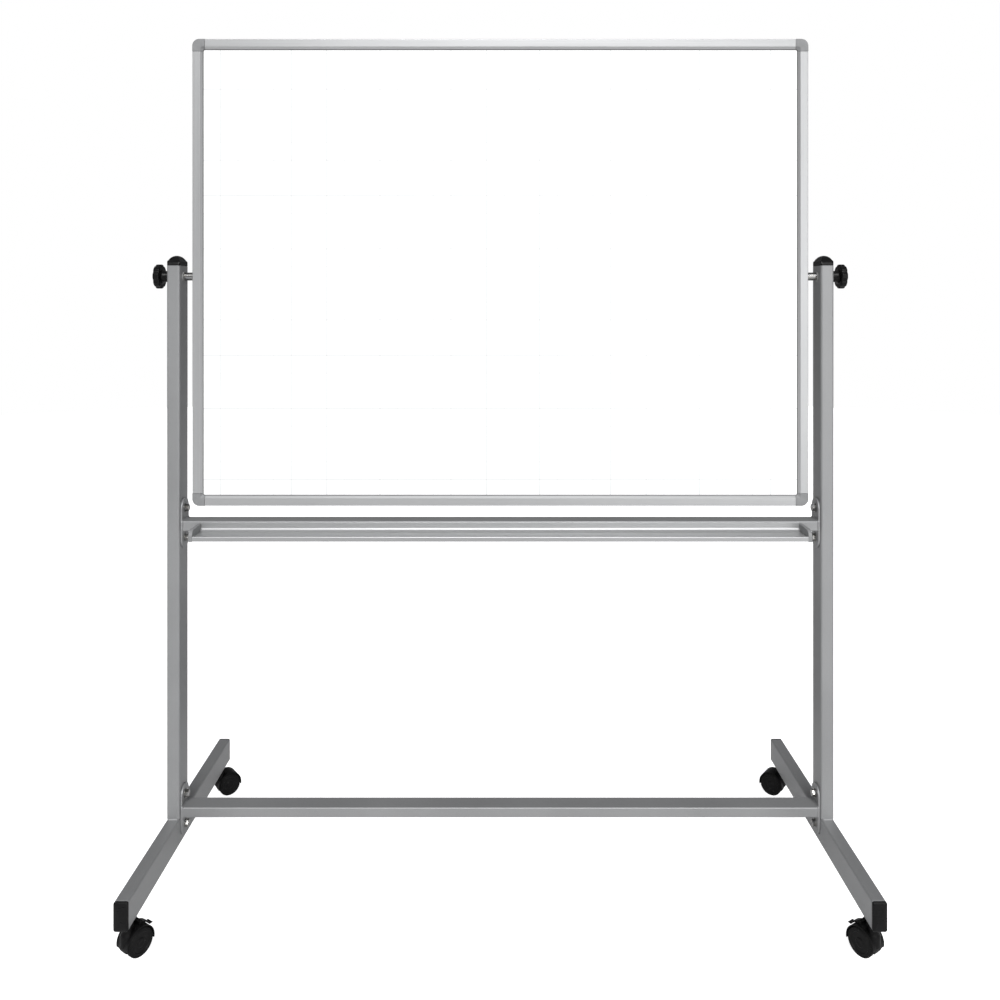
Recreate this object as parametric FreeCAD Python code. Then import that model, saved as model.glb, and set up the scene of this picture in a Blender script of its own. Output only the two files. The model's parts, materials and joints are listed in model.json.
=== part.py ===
"""Rolling whiteboard: a reversible framed board that turns between two posts on a wheeled stand.

Millimetres, +Z up. X runs along the board and -Y is the side a writer stands on. The origin is on
the floor, midway between the posts and midway through the whole depth.
"""
import FreeCAD
import Part
import math
import os

V = FreeCAD.Vector

# ---- Driving dimensions: stand ------------------------------------------------------------------
POST_OUTER_X = 655.0          # outer face of each post, from the middle
POST_WIDTH = 25.4             # along X, shared by posts and feet
POST_DEPTH = 50.8             # along Y on the posts, along Z on the feet
TUBE_WALL = 1.5
TUBE_CORNER_R = 4.0
POST_TOP_Z = 1203.0
POST_FORWARD = 19.0           # posts stand this far in front of the middle of the feet
POST_CAP_RISE = 21.0
FOOT_LENGTH = 600.0           # over the end caps
FOOT_TOP_Z = 115.5
FOOT_CAP_REACH = 8.0          # how far a cap's dome stands out of the foot
CAP_SKIRT = 2.5
FOOT_CAP_SKIRT = 5.0
CAP_PLUG = 13.0
CAP_PLUG_GAP = 0.1
CAP_CROWN = 0.75              # most a dome falls, as a part of half the tube's side
BAR_HEIGHT = 20.0
BAR_DEPTH = 40.0
BAR_CORNER_R = 2.5
UPPER_BAR_Z = 690.0
LOWER_BAR_Z = 126.0

# ---- Driving dimensions: bolted end plates of the crossbars -------------------------------------
PLATE_WIDTH = 40.0
PLATE_THICK = 3.5
UPPER_PLATE_Z = 693.0
LOWER_PLATE_Z = 125.0
PLATE_BOLT_SPACING = 59.0
BOLT_R = 4.0
BOLT_HEAD_FLATS = 13.0
BOLT_HEAD_THICK = 5.5
BOLT_HOLE_GAP = 0.3
WASHER_R = 9.0
WASHER_THICK = 1.6
RIVET_NUT_R = 5.5
RIVET_NUT_BULGE_R = 7.2
RIVET_NUT_LENGTH = 14.0

# ---- Driving dimensions: pen tray ---------------------------------------------------------------
TRAY_LENGTH = 1190.0          # over the end caps
TRAY_DEPTH = 57.0             # out from the front of the crossbar
TRAY_FLOOR_Z = 681.0
TRAY_WALL_TOP_Z = 698.0
TRAY_WALL = 2.0
TRAY_FILLET_R = 8.0
TRAY_NOSE_R = 3.3
TRAY_NOSE_TOP_Z = 683.5
TRAY_NOSE_LOW_Z = 674.0
TRAY_RAMP = 9.0               # slope from the floor up to the nose
TRAY_FLANGE = 30.0            # flange under the crossbar
TRAY_CAP_THICK = 7.0
TRAY_CAP_TOP_Z = 695.5
TRAY_CAP_R = 13.0
TRAY_CAP_PROUD = 0.8
TRAY_SCREW_R = 2.0
TRAY_SCREW_HEAD_R = 4.0
TRAY_SCREW_HEAD = 2.4
TRAY_SCREW_LENGTH = 10.0
TRAY_SCREW_X = (-480, -240, 0, 240, 480)

# ---- Driving dimensions: board ------------------------------------------------------------------
BOARD_WIDTH = 1219.0
BOARD_HEIGHT = 924.0
BOARD_THICK = 20.0
BOARD_TOP_Z = 1652.0
RAIL_FLAT = 15.2              # flat front of a frame rail
RAIL_FACE = 19.8              # flat front and sloping lip together
RAIL_EDGE_R = 1.5
RAIL_WALL = 1.5
RAIL_CAVITY = 10.5            # how far the hollow reaches inwards from the outside of the frame
LIP_EDGE = 0.6                # thickness of the lip where it meets the panel
PANEL_THICK = 11.0            # two steel sheets and the core between them
SHEET_THICK = 0.4
PANEL_INSET = 12.0            # edge of the panel from the outside of the frame
CORNER_LEG = 24.2
CORNER_R = 14.0
CORNER_PROUD = 0.4
CORNER_PEG = 20.0
PEG_GAP = 0.2

# ---- Driving dimensions: board pivot and clamping knobs -----------------------------------------
PIVOT_Z = 1182.0
STUD_R = 5.0
RUNNING_GAP = 0.05            # between a shaft and its hole
FACE_GAP = 0.3                # between faces that turn past each other
BUSH_FLANGE_R = 9.8
BUSH_FLANGE_THICK = 2.0
BUSH_R = 7.0
SPACER_R = 8.0
PIVOT_BLOCK_LENGTH = 60.0
KNOB_WASHER_R = 12.0
KNOB_WASHER_THICK = 1.5
KNOB_HUB_R = 10.5
KNOB_R = 24.0
KNOB_RIM_X = 671.5
KNOB_OUTER_X = 684.5
KNOB_EDGE_R = 2.5
KNOB_LOBES = 8
KNOB_SCALLOP_R = 6.0
KNOB_SCALLOP_OUT = 4.2        # centre of a scallop outside the rim
KNOB_INSERT_R = 7.5
KNOB_INSERT_LENGTH = 16.0
STUD_END_X = 679.0

# ---- Driving dimensions: casters ----------------------------------------------------------------
CASTER_INSET = 33.0           # swivel axis from the end of the foot
CASTER_TRAIL = 16.0           # wheel axle behind the swivel axis
FRONT_CASTER_TURN = 56.0      # degrees from straight inwards, away from the writer
REAR_CASTER_TURN = 38.0
WHEEL_R = 24.0
WHEEL_WIDTH = 10.5
WHEEL_EDGE_R = 2.5
WHEEL_DISH_R = 17.0
WHEEL_DISH_DEPTH = 1.2
AXLE_R = 3.0
AXLE_SHORT = 2.5              # how far the axle stops short of a wheel's outer face
WEB_THICK = 10.8              # middle of the housing, between the two wheels
WEB_LOW_Z = 10.0
HOOD_R = 26.8
HOOD_THICK = 1.8
HOOD_LIFT = 0.8               # centre of the hood above the axle
HOOD_LOW_Z = 20.0
NECK_R = 9.5
STEM_R = 3.5
STEM_LOW_Z = 24.0
STEM_COLLAR_FLATS = 14.0
STEM_COLLAR_THICK = 3.0
STEM_THREAD_R = 5.0
STEM_TOP_Z = 80.0
SOCKET_R = 8.0
SOCKET_TOP_Z = 84.0
LEVER_WIDTH = 14.0
LEVER_THICK = 2.2
LEVER_GAP = 0.8               # between the raised lever and the hood
LEVER_PIN_R = 1.5
LEVER_PIN_ANGLE = 80.0        # around the hood, from the trailing side up
LEVER_END_ANGLE = 30.0
LEVER_TAB = 4.5
EAR_THICK = 2.4
EAR_R = 3.2

OVER = 1.0                    # how far a cutting shape runs past the face it cuts

# ---- Worked out from the driving dimensions -----------------------------------------------------
POST_INNER_X = POST_OUTER_X - POST_WIDTH
POST_MID_X = POST_OUTER_X - POST_WIDTH / 2
FOOT_LOW_Z = FOOT_TOP_Z - POST_DEPTH
FOOT_MID_Z = FOOT_TOP_Z - POST_DEPTH / 2
PLATE_INNER_X = POST_INNER_X - PLATE_THICK
WASHER_INNER_X = PLATE_INNER_X - WASHER_THICK
HOOD_Z = WHEEL_R + HOOD_LIFT
NECK_TOP_Z = FOOT_LOW_Z - STEM_COLLAR_THICK - FACE_GAP
WHEEL_NEAR = WEB_THICK / 2 + FACE_GAP
WHEEL_FAR = WHEEL_NEAR + WHEEL_WIDTH
REAR_TURN = math.radians(REAR_CASTER_TURN)
HOOD_SPAN = HOOD_R * math.sin(REAR_TURN) + WHEEL_FAR * math.cos(REAR_TURN)
REAR_OVERHANG = HOOD_SPAN + CASTER_TRAIL * math.sin(REAR_TURN) - CASTER_INSET
FOOT_MID_Y = -REAR_OVERHANG / 2
POST_Y = FOOT_MID_Y - POST_FORWARD
SWIVEL_REACH = FOOT_LENGTH / 2 - CASTER_INSET
CASTER_ROWS = {"front": FOOT_MID_Y - SWIVEL_REACH, "rear": FOOT_MID_Y + SWIVEL_REACH}
CASTER_TURNS = {"front": FRONT_CASTER_TURN, "rear": REAR_CASTER_TURN}
BAR_FRONT_Y = POST_Y - BAR_DEPTH / 2
TRAY_FRONT_Y = BAR_FRONT_Y - TRAY_DEPTH
BOARD_MID_Z = BOARD_TOP_Z - BOARD_HEIGHT / 2
PANEL_HALF = PANEL_THICK / 2
BOLT_HEIGHTS = [
    middle + step * PLATE_BOLT_SPACING / 2
    for middle in (UPPER_PLATE_Z, LOWER_PLATE_Z)
    for step in (1, -1)
]
SIDES = {"left": -1, "right": 1}
X_AXIS = V(1, 0, 0)
Y_AXIS = V(0, 1, 0)
Z_AXIS = V(0, 0, 1)


# ---- Shape helpers ------------------------------------------------------------------------------
def box(x, y, z):
    """A box from (low, high) pairs."""
    return Part.makeBox(x[1] - x[0], y[1] - y[0], z[1] - z[0], V(x[0], y[0], z[0]))


def rod(radius, start, axis, length):
    """A cylinder that starts at a point and runs along an axis."""
    return Part.makeCylinder(radius, length, V(*start), axis)


def ring(outer_r, inner_r, start, axis, length):
    """A round tube that starts at a point and runs along an axis."""
    return rod(outer_r, start, axis, length).cut(rod(inner_r, start, axis, length))


def laid(shape, at, x_dir=X_AXIS, z_dir=Z_AXIS):
    """A copy of a shape at a point, with its own X and Z axes laid along two directions."""
    copy = shape.copy()
    turn = FreeCAD.Rotation(x_dir, z_dir.cross(x_dir), z_dir, "XZY")
    copy.Placement = FreeCAD.Placement(V(*at), turn).multiply(copy.Placement)
    return copy


def flipped(shape, axis):
    """The mirror image of a shape through the origin's plane across an axis."""
    return shape.mirror(V(0, 0, 0), axis)


def on_side(shape, side):
    """The right-hand shape itself, or its mirror image for the left."""
    return shape if side > 0 else flipped(shape, X_AXIS)


def on_both_sides(shape):
    """A right-hand shape and its mirror image."""
    return [on_side(shape, side) for side in SIDES.values()]


def outline(points):
    """A closed wire through (x, y) points. A third value marks the middle point of an arc."""
    edges = []
    i = 0
    while i < len(points):
        start = V(*points[i][:2], 0)
        bend = points[(i + 1) % len(points)]
        if len(bend) == 3:
            end = V(*points[(i + 2) % len(points)][:2], 0)
            edges.append(Part.Arc(start, V(*bend[:2], 0), end).toShape())
            i += 2
        else:
            edges.append(Part.LineSegment(start, V(*bend, 0)).toShape())
            i += 1
    return Part.Wire(edges)


def prism(points, length):
    """A solid of the outline's shape, extruded along +Z."""
    return Part.Face(outline(points)).extrude(V(0, 0, length))


def arc_middle(centre, radius, degrees):
    """The marked middle point of an arc, for outline()."""
    angle = math.radians(degrees)
    return (centre[0] + radius * math.cos(angle), centre[1] + radius * math.sin(angle), "arc")


def rounded_bar(width, depth, radius, length):
    """A solid bar of rounded rectangular section, centred on the Z axis, from z = 0 up."""
    x = width / 2
    y = depth / 2
    cx = x - radius
    cy = y - radius
    points = [
        (-cx, -y), (cx, -y), arc_middle((cx, -cy), radius, -45),
        (x, -cy), (x, cy), arc_middle((cx, cy), radius, 45),
        (cx, y), (-cx, y), arc_middle((-cx, cy), radius, 135),
        (-x, cy), (-x, -cy), arc_middle((-cx, -cy), radius, 225),
    ]
    return prism(points, length)


def tube(width, depth, radius, length):
    """A rectangular tube, centred on the Z axis, from z = 0 up."""
    outer = rounded_bar(width, depth, radius, length)
    wide = width - 2 * TUBE_WALL
    deep = depth - 2 * TUBE_WALL
    return outer.cut(rounded_bar(wide, deep, radius - TUBE_WALL, length))


def hexagon(across_flats, start, axis, length):
    """A hexagonal bar that starts at a point and runs along an axis."""
    reach = across_flats / math.sqrt(3)
    turns = [math.pi / 3 * i for i in range(6)]
    corners = [(reach * math.cos(turn), reach * math.sin(turn)) for turn in turns]
    across = Y_AXIS if abs(axis.z) < 0.5 else X_AXIS
    return laid(prism(corners, length), start, across, axis)


# ---- Stand --------------------------------------------------------------------------------------
def post():
    """Right-hand post, with holes for the pivot bush and the rivet nuts."""
    length = POST_TOP_Z - FOOT_TOP_Z
    shape = tube(POST_WIDTH, POST_DEPTH, TUBE_CORNER_R, length)
    shape = laid(shape, (POST_MID_X, POST_Y, FOOT_TOP_Z))
    hole = rod(BUSH_R, (POST_INNER_X - OVER, POST_Y, PIVOT_Z), X_AXIS, POST_WIDTH + 2 * OVER)
    return drilled(shape.cut(hole))


def foot():
    """Right-hand foot, lying along Y, with holes for the rivet nut and the caster sockets."""
    reach = FOOT_LENGTH / 2 - FOOT_CAP_REACH
    start = (POST_MID_X, FOOT_MID_Y + reach, FOOT_MID_Z)
    shape = laid(tube(POST_WIDTH, POST_DEPTH, TUBE_CORNER_R, 2 * reach), start, X_AXIS, -Y_AXIS)
    for y in CASTER_ROWS.values():
        hole = rod(SOCKET_R, (POST_MID_X, y, FOOT_LOW_Z - OVER), Z_AXIS, TUBE_WALL + 2 * OVER)
        shape = shape.cut(hole)
    return drilled(shape)


def drilled(shape):
    """A post or foot with the rivet nut holes in its inner wall."""
    for z in BOLT_HEIGHTS:
        start = (POST_INNER_X - OVER, POST_Y, z)
        shape = shape.cut(rod(RIVET_NUT_R, start, X_AXIS, TUBE_WALL + 2 * OVER))
    return shape


def domed_cap(rise, skirt):
    """A cap for a tube end: a plug below z = 0, a short skirt and a dome crowned both ways."""
    body = rounded_bar(POST_WIDTH, POST_DEPTH, TUBE_CORNER_R, rise)
    for half, across in ((POST_WIDTH / 2, X_AXIS), (POST_DEPTH / 2, Y_AXIS)):
        shoulder = rise - min(CAP_CROWN * half, rise - skirt)
        arch = [(-half, 0), (half, 0), (half, shoulder), (0, rise, "arc"), (-half, shoulder)]
        run = across.cross(Z_AXIS)
        body = body.common(laid(prism(arch, 2 * POST_DEPTH), run * -POST_DEPTH, across, run))
    gap = TUBE_WALL + CAP_PLUG_GAP
    plug = rounded_bar(POST_WIDTH - 2 * gap, POST_DEPTH - 2 * gap, TUBE_CORNER_R - gap, CAP_PLUG)
    return body.fuse(laid(plug, (0, 0, -CAP_PLUG)))


def foot_caps():
    """All four foot end caps."""
    cap = domed_cap(FOOT_CAP_REACH, FOOT_CAP_SKIRT)
    reach = FOOT_LENGTH / 2 - FOOT_CAP_REACH
    places = [(side * POST_MID_X, end) for side in SIDES.values() for end in (-1, 1)]
    return [laid(cap, (x, FOOT_MID_Y + end * reach, FOOT_MID_Z), X_AXIS, Y_AXIS * end) for x, end in places]


def crossbar(z):
    """A tube between the end plates."""
    shape = tube(BAR_DEPTH, BAR_HEIGHT, BAR_CORNER_R, 2 * PLATE_INNER_X)
    return laid(shape, (-PLATE_INNER_X, POST_Y, z), Y_AXIS, X_AXIS)


def upper_crossbar():
    """The crossbar that carries the tray, with screw holes in its lower wall."""
    return crossbar(UPPER_BAR_Z).cut(Part.makeCompound(tray_screw_shanks()))


def end_plate(middle_z):
    """Right-hand plate with fully rounded ends, welded to a crossbar and bolted to the post."""
    half = PLATE_BOLT_SPACING / 2
    r = PLATE_WIDTH / 2
    points = [
        (-r, -half), (0, -half - r, "arc"), (r, -half),
        (r, half), (0, half + r, "arc"), (-r, half),
    ]
    shape = laid(prism(points, PLATE_THICK), (PLATE_INNER_X, POST_Y, middle_z), Y_AXIS, X_AXIS)
    for z in BOLT_HEIGHTS:
        start = (PLATE_INNER_X - OVER, POST_Y, z)
        shape = shape.cut(rod(BOLT_R + BOLT_HOLE_GAP, start, X_AXIS, PLATE_THICK + 2 * OVER))
    return shape


def plate_bolt(z):
    """Right-hand hex bolt through a washer and the end plate into a rivet nut."""
    head = hexagon(BOLT_HEAD_FLATS, (WASHER_INNER_X, POST_Y, z), -X_AXIS, BOLT_HEAD_THICK)
    shank_length = POST_INNER_X + RIVET_NUT_LENGTH - WASHER_INNER_X
    return head.fuse(rod(BOLT_R, (WASHER_INNER_X, POST_Y, z), X_AXIS, shank_length))


def plate_washer(z):
    """Right-hand washer under a plate bolt's head."""
    return ring(WASHER_R, BOLT_R + BOLT_HOLE_GAP, (WASHER_INNER_X, POST_Y, z), X_AXIS, WASHER_THICK)


def rivet_nut(z):
    """Right-hand threaded insert, crimped behind the tube's wall."""
    sleeve = rod(RIVET_NUT_R, (POST_INNER_X, POST_Y, z), X_AXIS, RIVET_NUT_LENGTH)
    bulge = rod(RIVET_NUT_BULGE_R, (POST_INNER_X + TUBE_WALL, POST_Y, z), X_AXIS, RIVET_NUT_LENGTH / 4)
    bore = rod(BOLT_R + RUNNING_GAP, (POST_INNER_X, POST_Y, z), X_AXIS, RIVET_NUT_LENGTH)
    return sleeve.fuse(bulge).cut(bore)


# ---- Pen tray -----------------------------------------------------------------------------------
def tray():
    """Extruded trough with a filleted back wall, a rounded nose and a flange under the crossbar."""
    back = BAR_FRONT_Y
    wall = back - TRAY_WALL
    nose = TRAY_FRONT_Y + TRAY_NOSE_R
    under = TRAY_FLOOR_Z - TRAY_WALL
    flange_top = UPPER_BAR_Z - BAR_HEIGHT / 2
    rim_r = TRAY_WALL / 2
    fillet = (wall - TRAY_FILLET_R, TRAY_FLOOR_Z + TRAY_FILLET_R)
    points = [
        (back + TRAY_FLANGE, flange_top - TRAY_WALL),
        (back + TRAY_FLANGE, flange_top),
        (back, flange_top),
        (back, TRAY_WALL_TOP_Z - rim_r),
        arc_middle((back - rim_r, TRAY_WALL_TOP_Z - rim_r), rim_r, 90),
        (wall, TRAY_WALL_TOP_Z - rim_r),
        (wall, fillet[1]),
        arc_middle(fillet, TRAY_FILLET_R, -45),
        (fillet[0], TRAY_FLOOR_Z),
        (nose + TRAY_RAMP, TRAY_FLOOR_Z),
        (nose, TRAY_NOSE_TOP_Z),
        arc_middle((nose, TRAY_NOSE_TOP_Z - TRAY_NOSE_R), TRAY_NOSE_R, 135),
        (TRAY_FRONT_Y, TRAY_NOSE_TOP_Z - TRAY_NOSE_R),
        (TRAY_FRONT_Y, TRAY_NOSE_LOW_Z + 1),
        (TRAY_FRONT_Y + 1, TRAY_NOSE_LOW_Z),
        (TRAY_FRONT_Y + TRAY_NOSE_R, TRAY_NOSE_LOW_Z),
        (TRAY_FRONT_Y + TRAY_NOSE_R, under),
        (wall, under),
        (wall, flange_top - TRAY_WALL),
    ]
    length = TRAY_LENGTH - 2 * TRAY_CAP_THICK
    shape = laid(prism(points, length), (-length / 2, 0, 0), Y_AXIS, X_AXIS)
    return shape.cut(Part.makeCompound(tray_screw_shanks()))


def tray_cap():
    """Right-hand end cap: a plate that stands above the trough, rounded at its front."""
    back = BAR_FRONT_Y
    front = TRAY_FRONT_Y - TRAY_CAP_PROUD
    low = TRAY_NOSE_LOW_Z - TRAY_CAP_PROUD
    centre = (front + TRAY_CAP_R, TRAY_CAP_TOP_Z - TRAY_CAP_R)
    points = [
        (back, low),
        (back, TRAY_CAP_TOP_Z),
        (centre[0], TRAY_CAP_TOP_Z),
        arc_middle(centre, TRAY_CAP_R, 135),
        (front, centre[1]),
        (front, low + 2),
        (front + 2, low),
    ]
    return laid(prism(points, TRAY_CAP_THICK), (TRAY_LENGTH / 2 - TRAY_CAP_THICK, 0, 0), Y_AXIS, X_AXIS)


def tray_screw_shanks():
    """Shanks of the screws that hold the tray's flange under the crossbar."""
    low = UPPER_BAR_Z - BAR_HEIGHT / 2 - TRAY_WALL
    y = BAR_FRONT_Y + TRAY_FLANGE / 2
    return [rod(TRAY_SCREW_R, (x, y, low), Z_AXIS, TRAY_SCREW_LENGTH) for x in TRAY_SCREW_X]


def tray_screws():
    """Pan-head screws, from under the tray's flange."""
    head_low = UPPER_BAR_Z - BAR_HEIGHT / 2 - TRAY_WALL - TRAY_SCREW_HEAD
    y = BAR_FRONT_Y + TRAY_FLANGE / 2
    heads = [rod(TRAY_SCREW_HEAD_R, (x, y, head_low), Z_AXIS, TRAY_SCREW_HEAD) for x in TRAY_SCREW_X]
    return [head.fuse(shank) for head, shank in zip(heads, tray_screw_shanks())]


# ---- Board, built around its own middle, and lifted into place ------------------------------------
def rail_profile(proud=0.0):
    """Section of a frame rail: inwards from the outside of the frame, and through its thickness."""
    half = BOARD_THICK / 2 + proud
    r = RAIL_EDGE_R
    lip = PANEL_HALF + LIP_EDGE
    return [
        (r - proud, -half),
        (RAIL_FLAT, -half),
        (RAIL_FACE, -lip),
        (RAIL_FACE, -PANEL_HALF),
        (PANEL_INSET, -PANEL_HALF),
        (PANEL_INSET, PANEL_HALF),
        (RAIL_FACE, PANEL_HALF),
        (RAIL_FACE, lip),
        (RAIL_FLAT, half),
        (r - proud, half),
        arc_middle((r - proud, half - r), r, 135),
        (-proud, half - r),
        (-proud, r - half),
        arc_middle((r - proud, r - half), r, 225),
    ]


def rail(length):
    """A hollow frame rail along Z from z = 0, with the outside of the frame at x = 0."""
    half = BOARD_THICK / 2 - RAIL_WALL
    return prism(rail_profile(), length).cut(box((RAIL_WALL, RAIL_CAVITY), (-half, half), (0, length)))


def peg(start, length):
    """A bar that fits the hollow of a rail laid along Z, from a height up."""
    gap = RAIL_WALL + PEG_GAP
    half = BOARD_THICK / 2 - gap
    return box((gap, RAIL_CAVITY - PEG_GAP), (-half, half), (start, start + length))


def side_rail():
    """Left-hand rail, with a hole for the pivot stud."""
    length = BOARD_HEIGHT - 2 * CORNER_LEG
    shape = laid(rail(length), (-BOARD_WIDTH / 2, 0, -length / 2))
    start = (-BOARD_WIDTH / 2 - OVER, 0, PIVOT_Z - BOARD_MID_Z)
    return shape.cut(rod(STUD_R + BOLT_HOLE_GAP, start, X_AXIS, RAIL_WALL + 2 * OVER))


def bottom_rail():
    """Rail along the bottom of the board."""
    length = BOARD_WIDTH - 2 * CORNER_LEG
    return laid(rail(length), (-length / 2, 0, -BOARD_HEIGHT / 2), Z_AXIS, X_AXIS)


def corner():
    """Lower left corner moulding: two legs of the rails' section, a rounded outside and two pegs."""
    leg = prism(rail_profile(CORNER_PROUD), CORNER_LEG + CORNER_PROUD)
    upright = laid(leg, (0, 0, -CORNER_PROUD))
    level = laid(leg, (-CORNER_PROUD, 0, 0), Z_AXIS, X_AXIS)
    shape = upright.fuse(level)
    thick = BOARD_THICK + 2 * CORNER_PROUD
    edge = CORNER_R - CORNER_PROUD
    square = box((-CORNER_PROUD, edge), (-thick / 2, thick / 2), (-CORNER_PROUD, edge))
    shape = shape.cut(square.cut(rod(CORNER_R, (edge, -thick / 2, edge), Y_AXIS, thick)))
    for turned in (False, True):
        stub = peg(CORNER_LEG - 1, CORNER_PEG + 1)
        shape = shape.fuse(laid(stub, (0, 0, 0), Z_AXIS, X_AXIS) if turned else stub)
    return laid(shape, (-BOARD_WIDTH / 2, 0, -BOARD_HEIGHT / 2))


def panel(low_y, high_y):
    """A flat layer of the panel between two depths."""
    x = BOARD_WIDTH / 2 - PANEL_INSET
    z = BOARD_HEIGHT / 2 - PANEL_INSET
    return box((-x, x), (low_y, high_y), (-z, z))


def board_nodes():
    """Frame, corners and panel of the board, by name."""
    skin = PANEL_HALF - SHEET_THICK
    nodes = {
        "frame_left": side_rail(),
        "frame_right": flipped(side_rail(), X_AXIS),
        "frame_bottom": bottom_rail(),
        "frame_top": flipped(bottom_rail(), Z_AXIS),
        "front_sheet": panel(-PANEL_HALF, -skin),
        "board_core": panel(-skin, skin),
        "back_sheet": panel(skin, PANEL_HALF),
    }
    for name, side in SIDES.items():
        piece = corner() if side < 0 else flipped(corner(), X_AXIS)
        nodes[f"corner_bottom_{name}"] = piece
        nodes[f"corner_top_{name}"] = flipped(piece, Z_AXIS)
    return {name: laid(shape, (0, POST_Y, BOARD_MID_Z)) for name, shape in nodes.items()}


# ---- Pivot and clamping knobs, right-hand side -----------------------------------------------------
def pivot_block():
    """Threaded block inside the side rail, which the stud screws into."""
    low = PIVOT_Z - PIVOT_BLOCK_LENGTH / 2
    shape = laid(peg(0, PIVOT_BLOCK_LENGTH), (BOARD_WIDTH / 2, POST_Y, low), -X_AXIS, Z_AXIS)
    start = (BOARD_WIDTH / 2 - RAIL_CAVITY, POST_Y, PIVOT_Z)
    return shape.cut(rod(STUD_R, start, X_AXIS, RAIL_CAVITY))


def pivot_stud():
    """Stud from the block in the board's frame out through the post and into the knob."""
    start = BOARD_WIDTH / 2 - RAIL_CAVITY + PEG_GAP
    return rod(STUD_R, (start, POST_Y, PIVOT_Z), X_AXIS, STUD_END_X - start)


def pivot_spacer():
    """Sleeve on the stud that keeps the board clear of the post."""
    end = POST_INNER_X - BUSH_FLANGE_THICK - FACE_GAP
    start = (BOARD_WIDTH / 2, POST_Y, PIVOT_Z)
    return ring(SPACER_R, STUD_R + BOLT_HOLE_GAP, start, X_AXIS, end - BOARD_WIDTH / 2)


def pivot_bush():
    """Flanged sleeve through both walls of the post."""
    sleeve = rod(BUSH_R, (POST_INNER_X, POST_Y, PIVOT_Z), X_AXIS, POST_WIDTH)
    flange_x = POST_INNER_X - BUSH_FLANGE_THICK
    start = (flange_x, POST_Y, PIVOT_Z)
    flange = rod(BUSH_FLANGE_R, start, X_AXIS, BUSH_FLANGE_THICK)
    bore = rod(STUD_R + RUNNING_GAP, start, X_AXIS, POST_WIDTH + BUSH_FLANGE_THICK)
    return sleeve.fuse(flange).cut(bore)


def knob_washer():
    """Washer between the post and the knob."""
    start = (POST_OUTER_X, POST_Y, PIVOT_Z)
    return ring(KNOB_WASHER_R, STUD_R + BOLT_HOLE_GAP, start, X_AXIS, KNOB_WASHER_THICK)


def knob_hub_x():
    """Where the knob's hub starts, just clear of its washer."""
    return POST_OUTER_X + KNOB_WASHER_THICK + FACE_GAP


def knob():
    """Star knob: a tapered hub and a scalloped disc, moulded around a threaded insert."""
    hub_x = knob_hub_x()
    at = (KNOB_RIM_X, POST_Y, PIVOT_Z)
    disc = rod(KNOB_R, at, X_AXIS, KNOB_OUTER_X - KNOB_RIM_X)
    disc = disc.makeFillet(KNOB_EDGE_R, disc.Edges[0:1] + disc.Edges[2:3])
    for i in range(KNOB_LOBES):
        angle = 2 * math.pi * (i + 0.5) / KNOB_LOBES
        reach = KNOB_R + KNOB_SCALLOP_OUT
        y = POST_Y + reach * math.cos(angle)
        z = PIVOT_Z + reach * math.sin(angle)
        disc = disc.cut(rod(KNOB_SCALLOP_R, (KNOB_RIM_X - 1, y, z), X_AXIS, KNOB_OUTER_X - KNOB_RIM_X + 2))
    hub = Part.makeCone(KNOB_HUB_R, KNOB_HUB_R + 2, KNOB_RIM_X - hub_x + 1, V(hub_x, POST_Y, PIVOT_Z), X_AXIS)
    shape = disc.fuse(hub).cut(rod(KNOB_INSERT_R, (hub_x, POST_Y, PIVOT_Z), X_AXIS, KNOB_INSERT_LENGTH))
    return shape.cut(rod(STUD_R + 1, (hub_x, POST_Y, PIVOT_Z), X_AXIS, STUD_END_X + 1 - hub_x))


def knob_insert():
    """Metal insert in the knob's hub."""
    start = (knob_hub_x(), POST_Y, PIVOT_Z)
    return ring(KNOB_INSERT_R, STUD_R + RUNNING_GAP, start, X_AXIS, KNOB_INSERT_LENGTH)


# ---- Caster, built with its swivel axis on Z and trailing along +X ---------------------------------
def caster_placed(shape, row, side):
    """A caster piece turned to its rest direction and put under the foot."""
    turn = math.radians(CASTER_TURNS[row])
    trail = V(-side * math.cos(turn), math.sin(turn), 0)
    return laid(shape, (side * POST_MID_X, CASTER_ROWS[row], 0), trail, Z_AXIS)


def across_rod(radius, x, z, reach):
    """A rod along Y, centred on the caster's middle plane."""
    return rod(radius, (x, -reach, z), Y_AXIS, 2 * reach)


def around_hood(radius, degrees):
    """A point on a circle around the hood's axis, as x and z."""
    angle = math.radians(degrees)
    return CASTER_TRAIL + radius * math.cos(angle), HOOD_Z + radius * math.sin(angle)


def hood_sector(radius, low, high, reach):
    """A wedge around the hood's axis between two angles, out to a radius."""
    points = [(CASTER_TRAIL, HOOD_Z)]
    points.append(around_hood(radius, low))
    points.append((*around_hood(radius, (low + high) / 2), "arc"))
    points.append(around_hood(radius, high))
    return laid(prism(points, 2 * reach), (0, reach, 0), X_AXIS, -Y_AXIS)


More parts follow.
